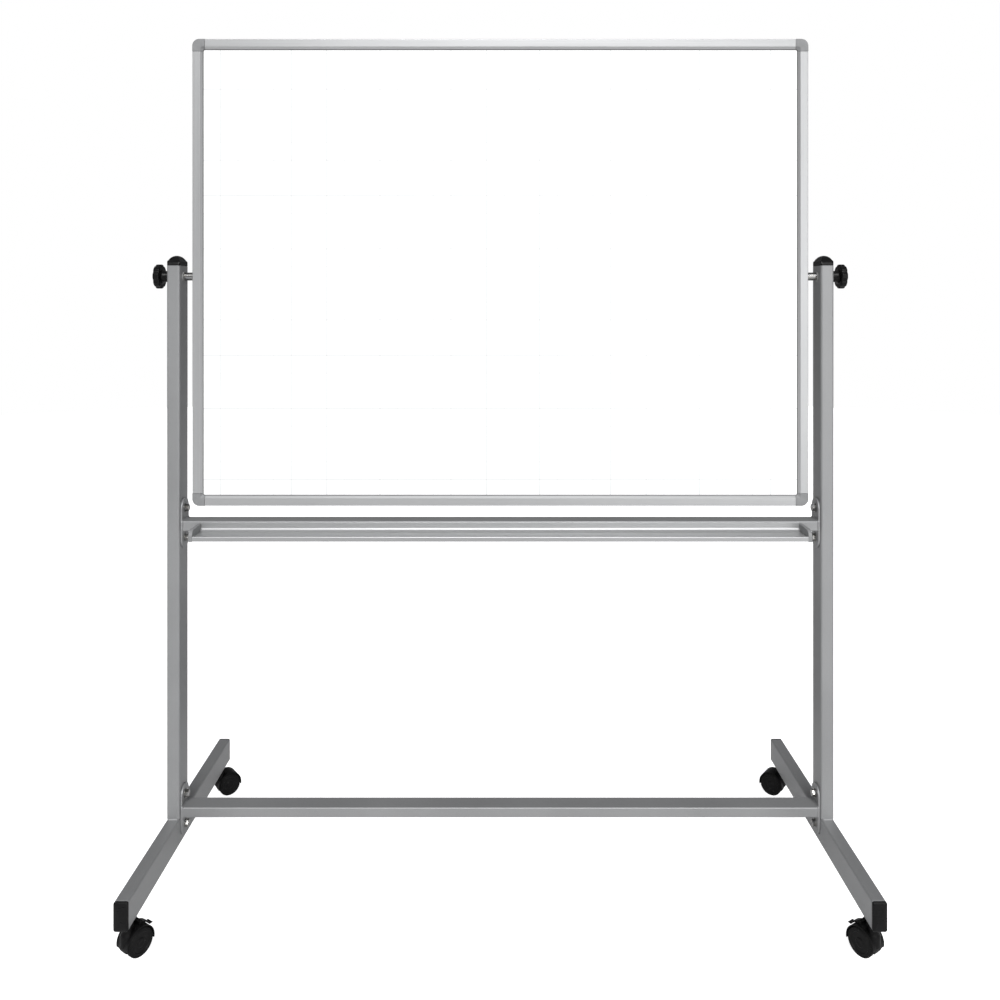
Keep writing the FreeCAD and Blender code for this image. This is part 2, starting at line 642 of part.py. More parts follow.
def caster_housing(braked):
    """Hood over both wheels, with the web between them, the neck and, if braked, the lever's ears."""
    hood_inner = HOOD_R - HOOD_THICK
    space = across_rod(hood_inner, CASTER_TRAIL, HOOD_Z, WHEEL_FAR + 1)
    hood = across_rod(HOOD_R, CASTER_TRAIL, HOOD_Z, WHEEL_FAR)
    neck = rod(NECK_R, (0, 0, HOOD_Z), Z_AXIS, NECK_TOP_Z - HOOD_Z)
    shape = hood.fuse(neck).cut(space)
    shape = shape.cut(box((-40, 60), (-40, 40), (-40, HOOD_LOW_Z)))
    web = across_rod(hood_inner + 0.5, CASTER_TRAIL, HOOD_Z, WEB_THICK / 2)
    shape = shape.fuse(web.cut(box((-40, 60), (-40, 40), (-40, WEB_LOW_Z))))
    if braked:
        shape = with_brake_ears(shape)
    shape = shape.cut(across_rod(AXLE_R, CASTER_TRAIL, WHEEL_R, WEB_THICK))
    return shape.cut(rod(STEM_R + RUNNING_GAP, (0, 0, STEM_LOW_Z - 2), Z_AXIS, NECK_TOP_Z))


def with_brake_ears(shape):
    """The housing with a window for the brake lever and two ears for its pins."""
    clear = LEVER_WIDTH / 2 + FACE_GAP
    window = hood_sector(HOOD_R + 5, LEVER_END_ANGLE - 8, LEVER_PIN_ANGLE - 16, clear)
    shape = shape.cut(window.cut(across_rod(WHEEL_R - 1, CASTER_TRAIL, HOOD_Z, clear + 1)))
    pin_x, pin_z = lever_pin()
    for side in (-1, 1):
        low = clear if side > 0 else -clear - EAR_THICK
        ear = rod(EAR_R, (pin_x, low, pin_z), Y_AXIS, EAR_THICK)
        root = box((pin_x - EAR_R, pin_x + EAR_R), (low, low + EAR_THICK), (HOOD_Z + HOOD_R - 2.5, pin_z))
        shape = shape.fuse(ear.fuse(root))
    return shape.cut(across_rod(LEVER_PIN_R + RUNNING_GAP, pin_x, pin_z, clear + EAR_THICK + 1))


def lever_pin():
    """Axis of the brake lever, as x and z."""
    return around_hood(HOOD_R + LEVER_GAP + LEVER_PIN_R + 1.2, LEVER_PIN_ANGLE)


def brake_lever():
    """Curved pedal over the hood, with a barrel and pins at its top and a toe tab at its end."""
    inner = HOOD_R + LEVER_GAP
    half = LEVER_WIDTH / 2
    outer = inner + LEVER_THICK
    hollow = across_rod(inner, CASTER_TRAIL, HOOD_Z, half + 1)
    shape = hood_sector(outer, LEVER_END_ANGLE, LEVER_PIN_ANGLE, half)
    tab = hood_sector(outer + LEVER_TAB, LEVER_END_ANGLE, LEVER_END_ANGLE + 6, half)
    pin_x, pin_z = lever_pin()
    shape = shape.fuse(tab).cut(hollow)
    shape = shape.fuse(across_rod(LEVER_PIN_R + 1.2, pin_x, pin_z, half))
    return shape.fuse(across_rod(LEVER_PIN_R, pin_x, pin_z, half + FACE_GAP + EAR_THICK))


def caster_axle():
    """Steel pin through the web, with a wheel on each end."""
    return across_rod(AXLE_R, CASTER_TRAIL, WHEEL_R, WHEEL_FAR - AXLE_SHORT)


def caster_wheel(side):
    """One wheel, with a rounded tread, a dished outer face and a blind bore."""
    y = WHEEL_NEAR if side > 0 else -WHEEL_FAR
    shape = rod(WHEEL_R, (CASTER_TRAIL, y, WHEEL_R), Y_AXIS, WHEEL_WIDTH)
    shape = shape.makeFillet(WHEEL_EDGE_R, shape.Edges[0:1] + shape.Edges[2:3])
    face = (WHEEL_FAR - WHEEL_DISH_DEPTH) if side > 0 else -WHEEL_FAR
    shape = shape.cut(rod(WHEEL_DISH_R, (CASTER_TRAIL, face, WHEEL_R), Y_AXIS, WHEEL_DISH_DEPTH))
    reach = WHEEL_FAR - AXLE_SHORT + FACE_GAP
    return shape.cut(across_rod(AXLE_R + RUNNING_GAP, CASTER_TRAIL, WHEEL_R, reach))


def caster_stem():
    """Swivel stem, its hexagonal collar and the thread that screws up into the foot."""
    shape = rod(STEM_R, (0, 0, STEM_LOW_Z), Z_AXIS, FOOT_LOW_Z - STEM_LOW_Z)
    start = (0, 0, FOOT_LOW_Z - STEM_COLLAR_THICK)
    collar = hexagon(STEM_COLLAR_FLATS, start, Z_AXIS, STEM_COLLAR_THICK)
    thread = rod(STEM_THREAD_R, (0, 0, FOOT_LOW_Z), Z_AXIS, STEM_TOP_Z - FOOT_LOW_Z)
    return shape.fuse(collar).fuse(thread)


def caster_socket():
    """Threaded socket pressed into the foot's lower wall."""
    start = (0, 0, FOOT_LOW_Z)
    return ring(SOCKET_R, STEM_THREAD_R + RUNNING_GAP, start, Z_AXIS, SOCKET_TOP_Z - FOOT_LOW_Z)


def caster_nodes():
    """The moving pieces of all four casters, by name."""
    nodes = {}
    for row in CASTER_ROWS:
        for name, side in SIDES.items():
            pieces = {
                "caster_housing": caster_housing(braked=row == "front"),
                "caster_axle": caster_axle(),
                "wheel_a": caster_wheel(1),
                "wheel_b": caster_wheel(-1),
            }
            if row == "front":
                pieces["brake_lever"] = brake_lever()
            for piece, shape in pieces.items():
                nodes[f"{row}_{name}_{piece}"] = caster_placed(shape, row, side)
    return nodes


# ---- All nodes ------------------------------------------------------------------------------------
def stand_nodes():
    """Pieces that stay still with the stand, by name."""
    upper_plate = end_plate(UPPER_PLATE_Z)
    lower_plate = end_plate(LOWER_PLATE_Z)
    post_cap = laid(domed_cap(POST_CAP_RISE, CAP_SKIRT), (POST_MID_X, POST_Y, POST_TOP_Z))
    corners = [(row, side) for row in CASTER_ROWS for side in SIDES.values()]
    nodes = {
        "upper_crossbar": upper_crossbar(),
        "lower_crossbar": crossbar(LOWER_BAR_Z),
        "foot_caps": foot_caps(),
        "plate_bolts": [s for z in BOLT_HEIGHTS for s in on_both_sides(plate_bolt(z))],
        "plate_washers": [s for z in BOLT_HEIGHTS for s in on_both_sides(plate_washer(z))],
        "rivet_nuts": [s for z in BOLT_HEIGHTS for s in on_both_sides(rivet_nut(z))],
        "tray": tray(),
        "tray_screws": tray_screws(),
        "pivot_bushes": on_both_sides(pivot_bush()),
        "knob_washers": on_both_sides(knob_washer()),
        "caster_stems": [caster_placed(caster_stem(), *place) for place in corners],
        "caster_sockets": [caster_placed(caster_socket(), *place) for place in corners],
    }
    for name, side in SIDES.items():
        nodes[f"{name}_post"] = on_side(post(), side)
        nodes[f"{name}_foot"] = on_side(foot(), side)
        nodes[f"{name}_post_cap"] = on_side(post_cap, side)
        nodes[f"{name}_upper_plate"] = on_side(upper_plate, side)
        nodes[f"{name}_lower_plate"] = on_side(lower_plate, side)
        nodes[f"{name}_tray_cap"] = on_side(tray_cap(), side)
    return nodes


def pivot_nodes():
    """Pivot pieces that turn with the board, and the two knobs."""
    nodes = {
        "pivot_blocks": on_both_sides(pivot_block()),
        "pivot_studs": on_both_sides(pivot_stud()),
        "pivot_spacers": on_both_sides(pivot_spacer()),
    }
    for name, side in SIDES.items():
        nodes[f"{name}_knob"] = on_side(knob(), side)
        nodes[f"{name}_knob_insert"] = on_side(knob_insert(), side)
    return nodes


def main():
    """Write one STEP file per node."""
    os.makedirs("parts", exist_ok=True)
    nodes = {**stand_nodes(), **board_nodes(), **pivot_nodes(), **caster_nodes()}
    for name, shape in nodes.items():
        solid = Part.makeCompound(shape) if isinstance(shape, list) else shape
        solid.exportStep(f"parts/{name}.step")
        print(name, len(solid.Solids), solid.isValid(), round(solid.Volume / 1000, 2))
    print(len(nodes), "nodes")


main()
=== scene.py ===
"""Rolling whiteboard: the looks of a reversible framed board on a wheeled stand.

Metres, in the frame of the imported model: +Z up, X along the board, and a writer stands on the -Y side.
"""
import json
import math

import bmesh
import bpy
from mathutils import Matrix, Vector


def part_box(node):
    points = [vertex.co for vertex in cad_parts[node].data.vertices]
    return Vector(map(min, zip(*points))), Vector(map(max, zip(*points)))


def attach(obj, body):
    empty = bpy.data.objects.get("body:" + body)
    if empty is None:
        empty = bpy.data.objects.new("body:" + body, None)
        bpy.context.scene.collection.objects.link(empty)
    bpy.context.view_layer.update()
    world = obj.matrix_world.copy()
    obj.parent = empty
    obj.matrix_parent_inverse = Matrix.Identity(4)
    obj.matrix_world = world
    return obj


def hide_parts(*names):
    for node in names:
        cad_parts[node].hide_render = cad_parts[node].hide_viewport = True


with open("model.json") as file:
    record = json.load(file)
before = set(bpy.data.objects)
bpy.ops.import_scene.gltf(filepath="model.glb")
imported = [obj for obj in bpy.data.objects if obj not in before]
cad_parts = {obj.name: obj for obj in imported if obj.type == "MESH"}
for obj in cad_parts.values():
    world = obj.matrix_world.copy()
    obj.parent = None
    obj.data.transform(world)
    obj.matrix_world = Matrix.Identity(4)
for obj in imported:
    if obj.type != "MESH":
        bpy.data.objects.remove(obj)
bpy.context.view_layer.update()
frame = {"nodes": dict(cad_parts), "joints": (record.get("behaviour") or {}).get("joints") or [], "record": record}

MM = 0.001
X = Vector((1, 0, 0))
Y = Vector((0, 1, 0))
Z = Vector((0, 0, 1))
SIDES = {"left": -1, "right": 1}
JOINTS = {joint["name"]: joint for joint in frame["joints"]}

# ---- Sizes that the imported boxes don't give ------------------------------------------------------
TUBE_WALL = 1.5 * MM
TUBE_CORNER = 4 * MM
BAR_CORNER = 2.5 * MM
WELD = 2.2 * MM                # leg of the fillet welds
WELD_PITCH = 2.4 * MM          # from one ripple of a weld to the next
PLATE_EDGE = 0.6 * MM
BOLT_FLATS = 13 * MM
BOLT_HEAD = 5.5 * MM
WASHER_R = 9 * MM
WASHER_THICK = 1.6 * MM
WASHER_BORE = 4.3 * MM
CAP_SKIRT = 2.5 * MM
FOOT_CAP_SKIRT = 5 * MM
CAP_LOW = 1.4 * MM             # least height of a cap's side
CAP_ROUND = 1.2 * MM           # how far a dome's edge drops
CAP_EDGE = 1.9 * MM            # width of the rounding round a dome
CAP_SOFTNESS = 2.2 * MM        # of the ridges where a dome's two arches meet
CAP_CROWN = 0.75               # steepest rise of a cap's dome, as a share of its half width
RAIL_FLAT = 15.2 * MM          # flat front of a frame rail
RAIL_FACE = 19.8 * MM          # flat front and sloping lip together
PANEL_HALF = 5.5 * MM
LIP_EDGE = 0.6 * MM
RAIL_EDGE = 1.2 * MM
CORNER_LEG = 24.2 * MM
CORNER_OUTER_R = 14 * MM
CORNER_INNER_R = 4.2 * MM
CORNER_PROUD = 0.4 * MM
JOINT_GAP = 0.5 * MM           # between a rail's end and its corner
TRAY_WALL = 2 * MM
TRAY_FILLET = 8 * MM
TRAY_NOSE_R = 3.3 * MM
TRAY_RAMP = 9 * MM
TRAY_FLOOR = 681 * MM
TRAY_NOSE_TOP = 683.5 * MM
TRAY_CAP_R = 13 * MM
STUD_R = 5 * MM
BUSH_FLANGE_R = 9.8 * MM
BUSH_FLANGE = 2 * MM
KNOB_R = 24 * MM
KNOB_RIM = 13 * MM             # thickness of the knob's disc
KNOB_HUB_R = 10.5 * MM
KNOB_LOBES = 8
KNOB_EDGE = 2.5 * MM
KNOB_BORE = 7.6                # radius of the hole for the insert, in millimetres
KNOB_DEEP = 16 * MM            # depth of that hole
SCALLOP_R = 6 * MM
SCALLOP_DEPTH = 1.8 * MM
HOOD_R = 26.8 * MM
HOOD_THICK = 1.8 * MM
HOOD_LIFT = 0.8 * MM
HOOD_LOW = 20 * MM
WEB_HALF = 5.4 * MM
WEB_LOW = 10 * MM
NECK_R = 9.5 * MM
WHEEL_GAP = 0.3 * MM
COLLAR_FLATS = 14 * MM
STEM_R = 3.5 * MM
LEVER_HALF = 7 * MM
LEVER_THICK = 2.2 * MM
LEVER_GAP = 0.8 * MM
LEVER_TAB = 4.5 * MM
LEVER_RIB = 0.35 * MM
LEVER_BARREL_R = 2.7 * MM
LEVER_PIN_R = 1.5 * MM
LEVER_HIGH = 80                # degrees round the hood, at the lever's barrel
LEVER_LOW = 34                 # and where its toe begins
WHEEL_WIDTH = 10.5 * MM
EAR_THICK = 2.4 * MM
EAR_R = 3.2 * MM


# ---- Outlines ------------------------------------------------------------------------------------
def rounded(corners, steps=6):
    """A closed outline through (x, y, radius) corners, each rounded by a tangent arc."""
    points = []
    count = len(corners)
    for i, (x, y, radius) in enumerate(corners):
        here = Vector((x, y))
        back = (Vector(corners[i - 1][:2]) - here).normalized()
        ahead = (Vector(corners[(i + 1) % count][:2]) - here).normalized()
        if radius == 0:
            points.append(here)
            continue
        half = back.angle(ahead) / 2
        centre = here + (back + ahead).normalized() * (radius / math.sin(half))
        first = here + back * (radius / math.tan(half)) - centre
        last = here + ahead * (radius / math.tan(half)) - centre
        turn = math.atan2(first.x * last.y - first.y * last.x, first.dot(last))
        for k in range(steps + 1):
            points.append(centre + Matrix.Rotation(turn * k / steps, 2) @ first)
    return points


def rectangle(width, depth, radius, steps=6):
    """A rounded rectangle about the origin."""
    x = width / 2
    y = depth / 2
    return rounded([(-x, -y, radius), (x, -y, radius), (x, y, radius), (-x, y, radius)], steps)


def circle(radius, steps=32):
    """A regular polygon that stands for a circle."""
    return [Vector((radius * math.cos(a), radius * math.sin(a))) for a in turns(steps)]


def turns(steps):
    """Evenly spaced angles once round."""
    return [2 * math.pi * i / steps for i in range(steps)]


def area(points):
    """Twice the signed area of an outline."""
    return sum(p.x * q.y - p.y * q.x for p, q in zip(points, points[1:] + points[:1]))


def inset(points, distance):
    """An outline moved inwards by a small distance."""
    way = 1 if area(points) > 0 else -1
    moved = []
    for i, here in enumerate(points):
        before = (here - points[i - 1]).normalized()
        after = (points[(i + 1) % len(points)] - here).normalized()
        normal = Vector((-before.y - after.y, before.x + after.x)).normalized()
        lean = max(0.3, math.sqrt(max(0.0, (1 + before.dot(after)) / 2)))
        moved.append(here + normal * (way * distance / lean))
    return moved


# ---- Pieces ----------------------------------------------------------------------------------------
class Piece:
    """Vertices and faces of one piece, with the material of each face."""

    def __init__(self):
        self.points = []
        self.faces = []
        self.kinds = []

    def loft(self, loops, kind=0, ring=False):
        """Faces between loops of as many points each. A ring joins the last loop to the first."""
        count = len(loops[0])
        start = len(self.points)
        for loop in loops:
            self.points.extend(Vector(p) for p in loop)
        pairs = [(i, i + 1) for i in range(len(loops) - 1)]
        if ring:
            pairs.append((len(loops) - 1, 0))
        for low, high in pairs:
            for i in range(count):
                j = (i + 1) % count
                a, b = start + low * count, start + high * count
                self.add_face((a + i, a + j, b + j, b + i), kind)
        if not ring:
            self.add_face(tuple(range(start, start + count)), kind)
            end = start + (len(loops) - 1) * count
            self.add_face(tuple(range(end, end + count)), kind)
        return self

    def add_face(self, corners, kind):
        self.faces.append(corners)
        self.kinds.append(kind)

    def placed(self, matrix, since=0):
        """Moves the points from a number on by a matrix."""
        self.points[since:] = [matrix @ p for p in self.points[since:]]
        return self

    def slab(self, outline, low, high, edge, kind=0, steps=3):
        """An outline extruded along Z from low to high, with its edges rounded."""
        bends = [math.pi / 2 * k / steps for k in range(steps + 1)]
        levels = [(edge * (1 - math.sin(a)), low + edge * (1 - math.cos(a))) for a in bends]
        levels += [(edge * (1 - math.sin(a)), high - edge * (1 - math.cos(a))) for a in reversed(bends)]
        return self.loft([[(p.x, p.y, z) for p in inset(outline, d)] for d, z in levels], kind)

    def hollow(self, outer, inner, low, high, edge):
        """A tube along Z between two outlines of as many points, with its outer end edges eased."""
        levels = [(outer, edge, low), (outer, 0, low + edge), (outer, 0, high - edge), (outer, edge, high),
                  (inner, 0, high), (inner, 0, low)]
        return self.loft([[(p.x, p.y, z) for p in inset(line, d)] for line, d, z in levels], ring=True)

    def lathe(self, profile, steps=48, kind=0, ring=False):
        """A shape of revolution about Z, through (radius, z) points."""
        loops = [[(r * math.cos(a), r * math.sin(a), z) for a in turns(steps)] for r, z in profile]
        return self.loft(loops, kind, ring)

    def make(self, name, body, slot, materials, *nodes, sharp=40):
        """The Blender object, riding on a body and standing for CAD nodes."""
        mesh = bpy.data.meshes.new(name)
        mesh.from_pydata([tuple(p) for p in self.points], [], self.faces)
        for material in materials:
            mesh.materials.append(material)
        mesh.polygons.foreach_set("material_index", self.kinds)
        work = bmesh.new()
        work.from_mesh(mesh)
        bmesh.ops.remove_doubles(work, verts=work.verts, dist=0.001 * MM)
        bmesh.ops.recalc_face_normals(work, faces=work.faces)
        work.to_mesh(mesh)
        work.free()
        mesh.polygons.foreach_set("use_smooth", [True] * len(mesh.polygons))
        mesh.set_sharp_from_angle(angle=math.radians(sharp))
        piece = bpy.data.objects.new(name, mesh)
        bpy.context.scene.collection.objects.link(piece)
        weighted = piece.modifiers.new("weighted_normals", "WEIGHTED_NORMAL")
        weighted.keep_sharp = True
        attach(piece, body)
        if nodes:
            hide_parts(*nodes)
        return piece


def basis(origin, x, y, z):
    """The matrix that lays a piece's own axes along three directions at a point."""
    turn = Matrix((x, y, z)).transposed().to_4x4()
    return Matrix.Translation(origin) @ turn


# Ways to lay a piece's own Z axis along a world axis, as its own X, Y and Z directions.
ALONG_X = (Y, Z, X)
ALONG_Y = (Z, X, Y)
ALONG_Z = (X, Y, Z)


def middle(node):
    """The middle of a CAD node's box, and its size."""
    low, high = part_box(node)
    return (low + high) / 2, high - low


def arc(centre, radius, start, end, steps):
    """Points along an arc, in degrees."""
    angles = [math.radians(start + (end - start) * k / steps) for k in range(steps + 1)]
    return [(centre[0] + radius * math.cos(a), centre[1] + radius * math.sin(a)) for a in angles]


# ---- Materials -----------------------------------------------------------------------------------
class Look:
    """A material under construction, with short ways to add its nodes."""

    def __init__(self, name, colour, roughness, **settings):
        self.material = bpy.data.materials.new(name)
        self.material.use_nodes = True
        self.tree = self.material.node_tree
        self.shader = self.tree.nodes["Principled BSDF"]
        self.shader.inputs["Base Color"].default_value = (*colour, 1)
        self.shader.inputs["Roughness"].default_value = roughness
        for socket, value in settings.items():
            self.shader.inputs[socket.replace("_", " ").title()].default_value = value
        self.place = self.tree.nodes.new("ShaderNodeTexCoord").outputs["Object"]

    def node(self, kind, **inputs):
        """A node whose inputs, by name or i0, i1..., are values or other nodes' outputs."""
        made = self.tree.nodes.new("ShaderNode" + kind)
        for key, value in inputs.items():
            socket = made.inputs[int(key[1:])] if key[1:].isdigit() else made.inputs[key]
            if isinstance(value, bpy.types.NodeSocket):
                self.tree.links.new(value, socket)
            else:
                socket.default_value = value
        return made

    def math(self, operation, first, second=0.0):
        made = self.node("Math", i0=first, i1=second)
        made.operation = operation
        return made.outputs[0]

    def noise(self, scale, stretch=(1, 1, 1), detail=2.0, shift=0.0):
        """Noise from 0 to 1 about 1/scale metres across, stretched along the axes."""
        mapped = self.node("Mapping", Vector=self.place, Scale=stretch, Location=(shift, shift, shift))
        return self.node("TexNoise", Vector=mapped.outputs[0], Scale=scale, Detail=detail).outputs["Fac"]

    def range(self, value, low, high, to_low=0.0, to_high=1.0):
        """A value's stretch from low to high, laid onto another stretch."""
        names = {"Value": value, "From Min": low, "From Max": high, "To Min": to_low, "To Max": to_high}
        return self.node("MapRange", **names).outputs[0]

    def blend(self, share, first, second):
        """A colour between two, each a colour or another node's output."""
        made = self.tree.nodes.new("ShaderNodeMix")
        made.data_type = "RGBA"
        sockets = {0: share, 6: first, 7: second}
        for index, value in sockets.items():
            if isinstance(value, bpy.types.NodeSocket):
                self.tree.links.new(value, made.inputs[index])
            elif index == 0:
                made.inputs[index].default_value = value
            else:
                made.inputs[index].default_value = (*value, 1)
        return made.outputs[2]

    def colour(self, output):
        self.tree.links.new(output, self.shader.inputs["Base Color"])
        return self

    def rough(self, output):
        self.tree.links.new(output, self.shader.inputs["Roughness"])
        return self

    def bump(self, height, strength, depth):
        """Relief of a height field, depth metres from its low to its high points."""
        made = self.node("Bump", Height=height, Strength=strength, Distance=depth)
        self.tree.links.new(made.outputs[0], self.shader.inputs["Normal"])
        return self


def scaled(colour, share):
    """A colour made lighter or darker."""
    return tuple(part * share for part in colour)


def powder_coat():
    """Silver-grey powder coat: fine orange peel with metal flake and a few dull patches."""
    base = (0.285, 0.288, 0.292)
    look = Look("silver_powder_coat", base, 0.45, metallic=0.35)
    flake = look.noise(2600, detail=1.0)
    patch = look.noise(7, detail=3.0, shift=3.0)
    tone = look.blend(look.range(patch, 0.3, 0.7), scaled(base, 0.95), scaled(base, 1.05))
    look.colour(look.blend(look.range(flake, 0.62, 0.78), tone, scaled(base, 1.45)))
    look.rough(look.range(patch, 0.3, 0.7, 0.40, 0.50))
    look.bump(look.noise(650), 0.16, 0.12 * MM)
    return look.material


def anodised(name, stretch, tone):
    """Satin anodised extrusion, with fine die lines along its length."""
    base = (tone, tone * 1.01, tone * 1.02)
    look = Look(name, base, 0.38, metallic=0.55)
    lines = look.noise(900, stretch, detail=3.0)
    patch = look.noise(5, detail=3.0, shift=1.0)
    tone = look.blend(look.range(lines, 0.3, 0.7), scaled(base, 0.93), scaled(base, 1.07))
    look.colour(look.blend(look.range(patch, 0.35, 0.65), tone, scaled(base, 1.03)))
    look.rough(look.range(lines, 0.3, 0.7, 0.33, 0.44))
    look.bump(lines, 0.18, 0.05 * MM)
    return look.material


def grey_plastic():
    """Satin grey moulding with a fine spark-eroded grain."""
    base = (0.235, 0.238, 0.242)
    look = Look("grey_plastic", base, 0.5)
    patch = look.noise(90, detail=4.0)
    look.colour(look.blend(look.range(patch, 0.3, 0.7), scaled(base, 0.92), scaled(base, 1.08)))
    look.rough(look.range(look.noise(300), 0.3, 0.7, 0.44, 0.56))
    look.bump(look.noise(2200, detail=3.0), 0.25, 0.06 * MM)
    return look.material


def black_plastic(name, tone, rough, grain):
    """Black moulded plastic, with a grain, faint rub marks and dust in its grain."""
    base = (tone, tone, tone * 1.03)
    look = Look(name, base, rough)
    look.shader.inputs["Specular IOR Level"].default_value = 0.14
    rubs = look.noise(60, (1, 1, 5), detail=5.0, shift=2.0)
    dust = look.noise(420, detail=4.0, shift=5.0)
    worn = look.blend(look.range(rubs, 0.58, 0.75), base, scaled(base, 1.9))
    look.colour(look.blend(look.range(dust, 0.66, 0.85), worn, (0.022, 0.0215, 0.021)))
    look.rough(look.range(rubs, 0.35, 0.75, rough - 0.07, rough + 0.08))
    look.bump(look.noise(grain, detail=3.0), 0.3, 0.08 * MM)
    return look.material


def wheel_tread():
    """Hard dark tread with dust and fine scuffs round it."""
    base = (0.006, 0.006, 0.0062)
    look = Look("wheel_tread", base, 0.62)
    look.shader.inputs["Specular IOR Level"].default_value = 0.12
    scuffs = look.noise(380, detail=6.0)
    dust = look.noise(70, detail=5.0, shift=4.0)
    tone = look.blend(look.range(scuffs, 0.5, 0.75), base, scaled(base, 1.8))
    look.colour(look.blend(look.range(dust, 0.5, 0.8), tone, (0.016, 0.0155, 0.0145)))
    look.rough(look.range(scuffs, 0.3, 0.7, 0.55, 0.72))
    look.bump(look.noise(1300), 0.3, 0.08 * MM)
    return look.material


def steel(name, colour, rough):
    """Plated steel with cloudy passivation and fine random scratches."""
    look = Look(name, colour, rough, metallic=1.0)
    cloud = look.noise(160, detail=4.0)
    scratches = look.noise(700, (1, 6, 1), detail=3.0, shift=1.5)
    warm = (colour[0] * 1.05, colour[1], colour[2] * 0.9)
    look.colour(look.blend(look.range(cloud, 0.35, 0.65), colour, warm))
    look.rough(look.range(scratches, 0.3, 0.7, rough - 0.07, rough + 0.1))
    look.bump(scratches, 0.15, 0.03 * MM)
    return look.material


def brass():
    """Machined brass."""
    return steel("brass_insert", (0.72, 0.53, 0.25), 0.3)


def nylon():
    """Grey moulded nylon."""
    base = (0.27, 0.27, 0.265)
    look = Look("grey_nylon", base, 0.42)
    look.colour(look.blend(look.range(look.noise(120), 0.3, 0.7), scaled(base, 0.94), scaled(base, 1.04)))
    look.bump(look.noise(1500), 0.2, 0.05 * MM)
    return look.material


def fibreboard():
    """Light fibreboard: matted fibres, seen only on the cut edges inside the frame."""
    look = Look("board_core", (0.45, 0.34, 0.22), 0.85)
    fibres = look.noise(500, (1, 1, 3), detail=6.0)
    look.colour(look.blend(look.range(fibres, 0.3, 0.7), (0.36, 0.26, 0.16), (0.52, 0.41, 0.28)))
    look.bump(fibres, 0.4, 0.3 * MM)
    return look.material


GRID_PITCH = 35.2 * MM         # unit that the ruled lines keep to
GRID_PERIOD = 9                # units from one group of lines to the next
GRID_LINES = {0: 1.0, 1: 0.45, 3: 0.45, 4: 1.0, 6: 1.0, 7: 0.45}     # place in the group: strength
GRID_LINE = 1.3 * MM
GRID_START = {0: -555.5 * MM, 2: 86.5 * MM}     # first line, from the middle in X and below the top in Z


def ruled(look, along):
    """How dark the ruled lines across one axis are, from 0 to 1."""
    split = look.node("SeparateXYZ", Vector=look.place)
    low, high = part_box("front_sheet")
    start = GRID_START[0] if along == 0 else high.z - GRID_START[2]
    way = 1 if along == 0 else -1
    units = look.math("DIVIDE", look.math("SUBTRACT", split.outputs[along], start), way * GRID_PITCH)
    total = 0.0
    for place, strength in GRID_LINES.items():
        shifted = look.math("ADD", units, GRID_PERIOD / 2 - place)
        cell = look.math("FLOORED_MODULO", shifted, GRID_PERIOD)
        away = look.math("ABSOLUTE", look.math("SUBTRACT", cell, GRID_PERIOD / 2))
        half = GRID_LINE / 2 / GRID_PITCH
        total = look.math("ADD", total, look.range(away, half * 0.7, half * 1.3, strength, 0.0))
    return total


def white_enamel():
    """Gloss white writing enamel with a faint ruled grid and traces of wiped marker."""
    base = (0.96, 0.96, 0.96)
    look = Look("white_enamel_steel", base, 0.22, coat_weight=0.25, coat_roughness=0.12)
    lines = look.math("MAXIMUM", ruled(look, 0), ruled(look, 2))
    haze = look.noise(3.2, (1, 1, 1.8), detail=4.0)
    tone = look.blend(look.range(haze, 0.45, 0.75), base, (0.945, 0.948, 0.95))
    look.colour(look.blend(lines, tone, (0.66, 0.665, 0.67)))
    look.rough(look.range(haze, 0.3, 0.7, 0.18, 0.28))
    look.bump(look.noise(45, detail=1.0), 0.05, 0.1 * MM)
    return look.material


COAT = powder_coat()
RAIL_X = anodised("anodised_along_x", (0.002, 1, 1), 0.46)
RAIL_Z = anodised("anodised_along_z", (1, 1, 0.002), 0.46)
TRAY_METAL = anodised("anodised_tray", (0.002, 1, 1), 0.38)
GREY = grey_plastic()
BLACK = black_plastic("black_plastic", 0.006, 0.34, 1500)
KNOB_BLACK = black_plastic("knob_black", 0.006, 0.34, 1900)
HOUSING_BLACK = black_plastic("housing_black", 0.004, 0.46, 1100)
TREAD = wheel_tread()
ZINC = steel("zinc_steel", (0.33, 0.335, 0.345), 0.25)
BRASS = brass()
NYLON = nylon()
CORE = fibreboard()
ENAMEL = white_enamel()


# ---- Stand ---------------------------------------------------------------------------------------
def tube(name, node, axes, corner):
    """A rounded rectangular tube in the place of a CAD node."""
    centre, size = middle(node)
    width, depth, length = (abs(axis.dot(size)) for axis in axes)
    outer = rectangle(width, depth, corner)
    inner = rectangle(width - 2 * TUBE_WALL, depth - 2 * TUBE_WALL, corner - TUBE_WALL / 2)
    piece = Piece().hollow(outer, inner, -length / 2, length / 2, 0.3 * MM)
    return piece.placed(basis(centre, *axes)).make(name, "stand", "silver_powder_coat", [COAT], node)


def weld_run(piece, corners, lift, out):
    """A rippled fillet weld along a closed or open line of points, each with its outward direction."""
    run = []
    for (start, start_out), (end, end_out) in zip(corners, corners[1:]):
        steps = max(1, round((end - start).length / (WELD_PITCH / 4)))
        for k in range(steps):
            run.append((start.lerp(end, k / steps), start_out.lerp(end_out, k / steps).normalized()))
    run.append(corners[-1])
    loops = []
    travelled = 0.0
    for i, (point, outward) in enumerate(run):
        if i:
            travelled += (point - run[i - 1][0]).length
        ripple = 1 + 0.12 * math.cos(2 * math.pi * travelled / WELD_PITCH)
        size = WELD * ripple * out
        reach = [(-0.5, -0.5), (1.0, -0.5), (1.0, 0.0), (0.72, 0.42), (0.42, 0.72), (0.0, 1.0), (-0.5, 1.0)]
        loops.append([point + outward * (a * size) + lift * (b * size) for a, b in reach])
    return piece.loft(loops)


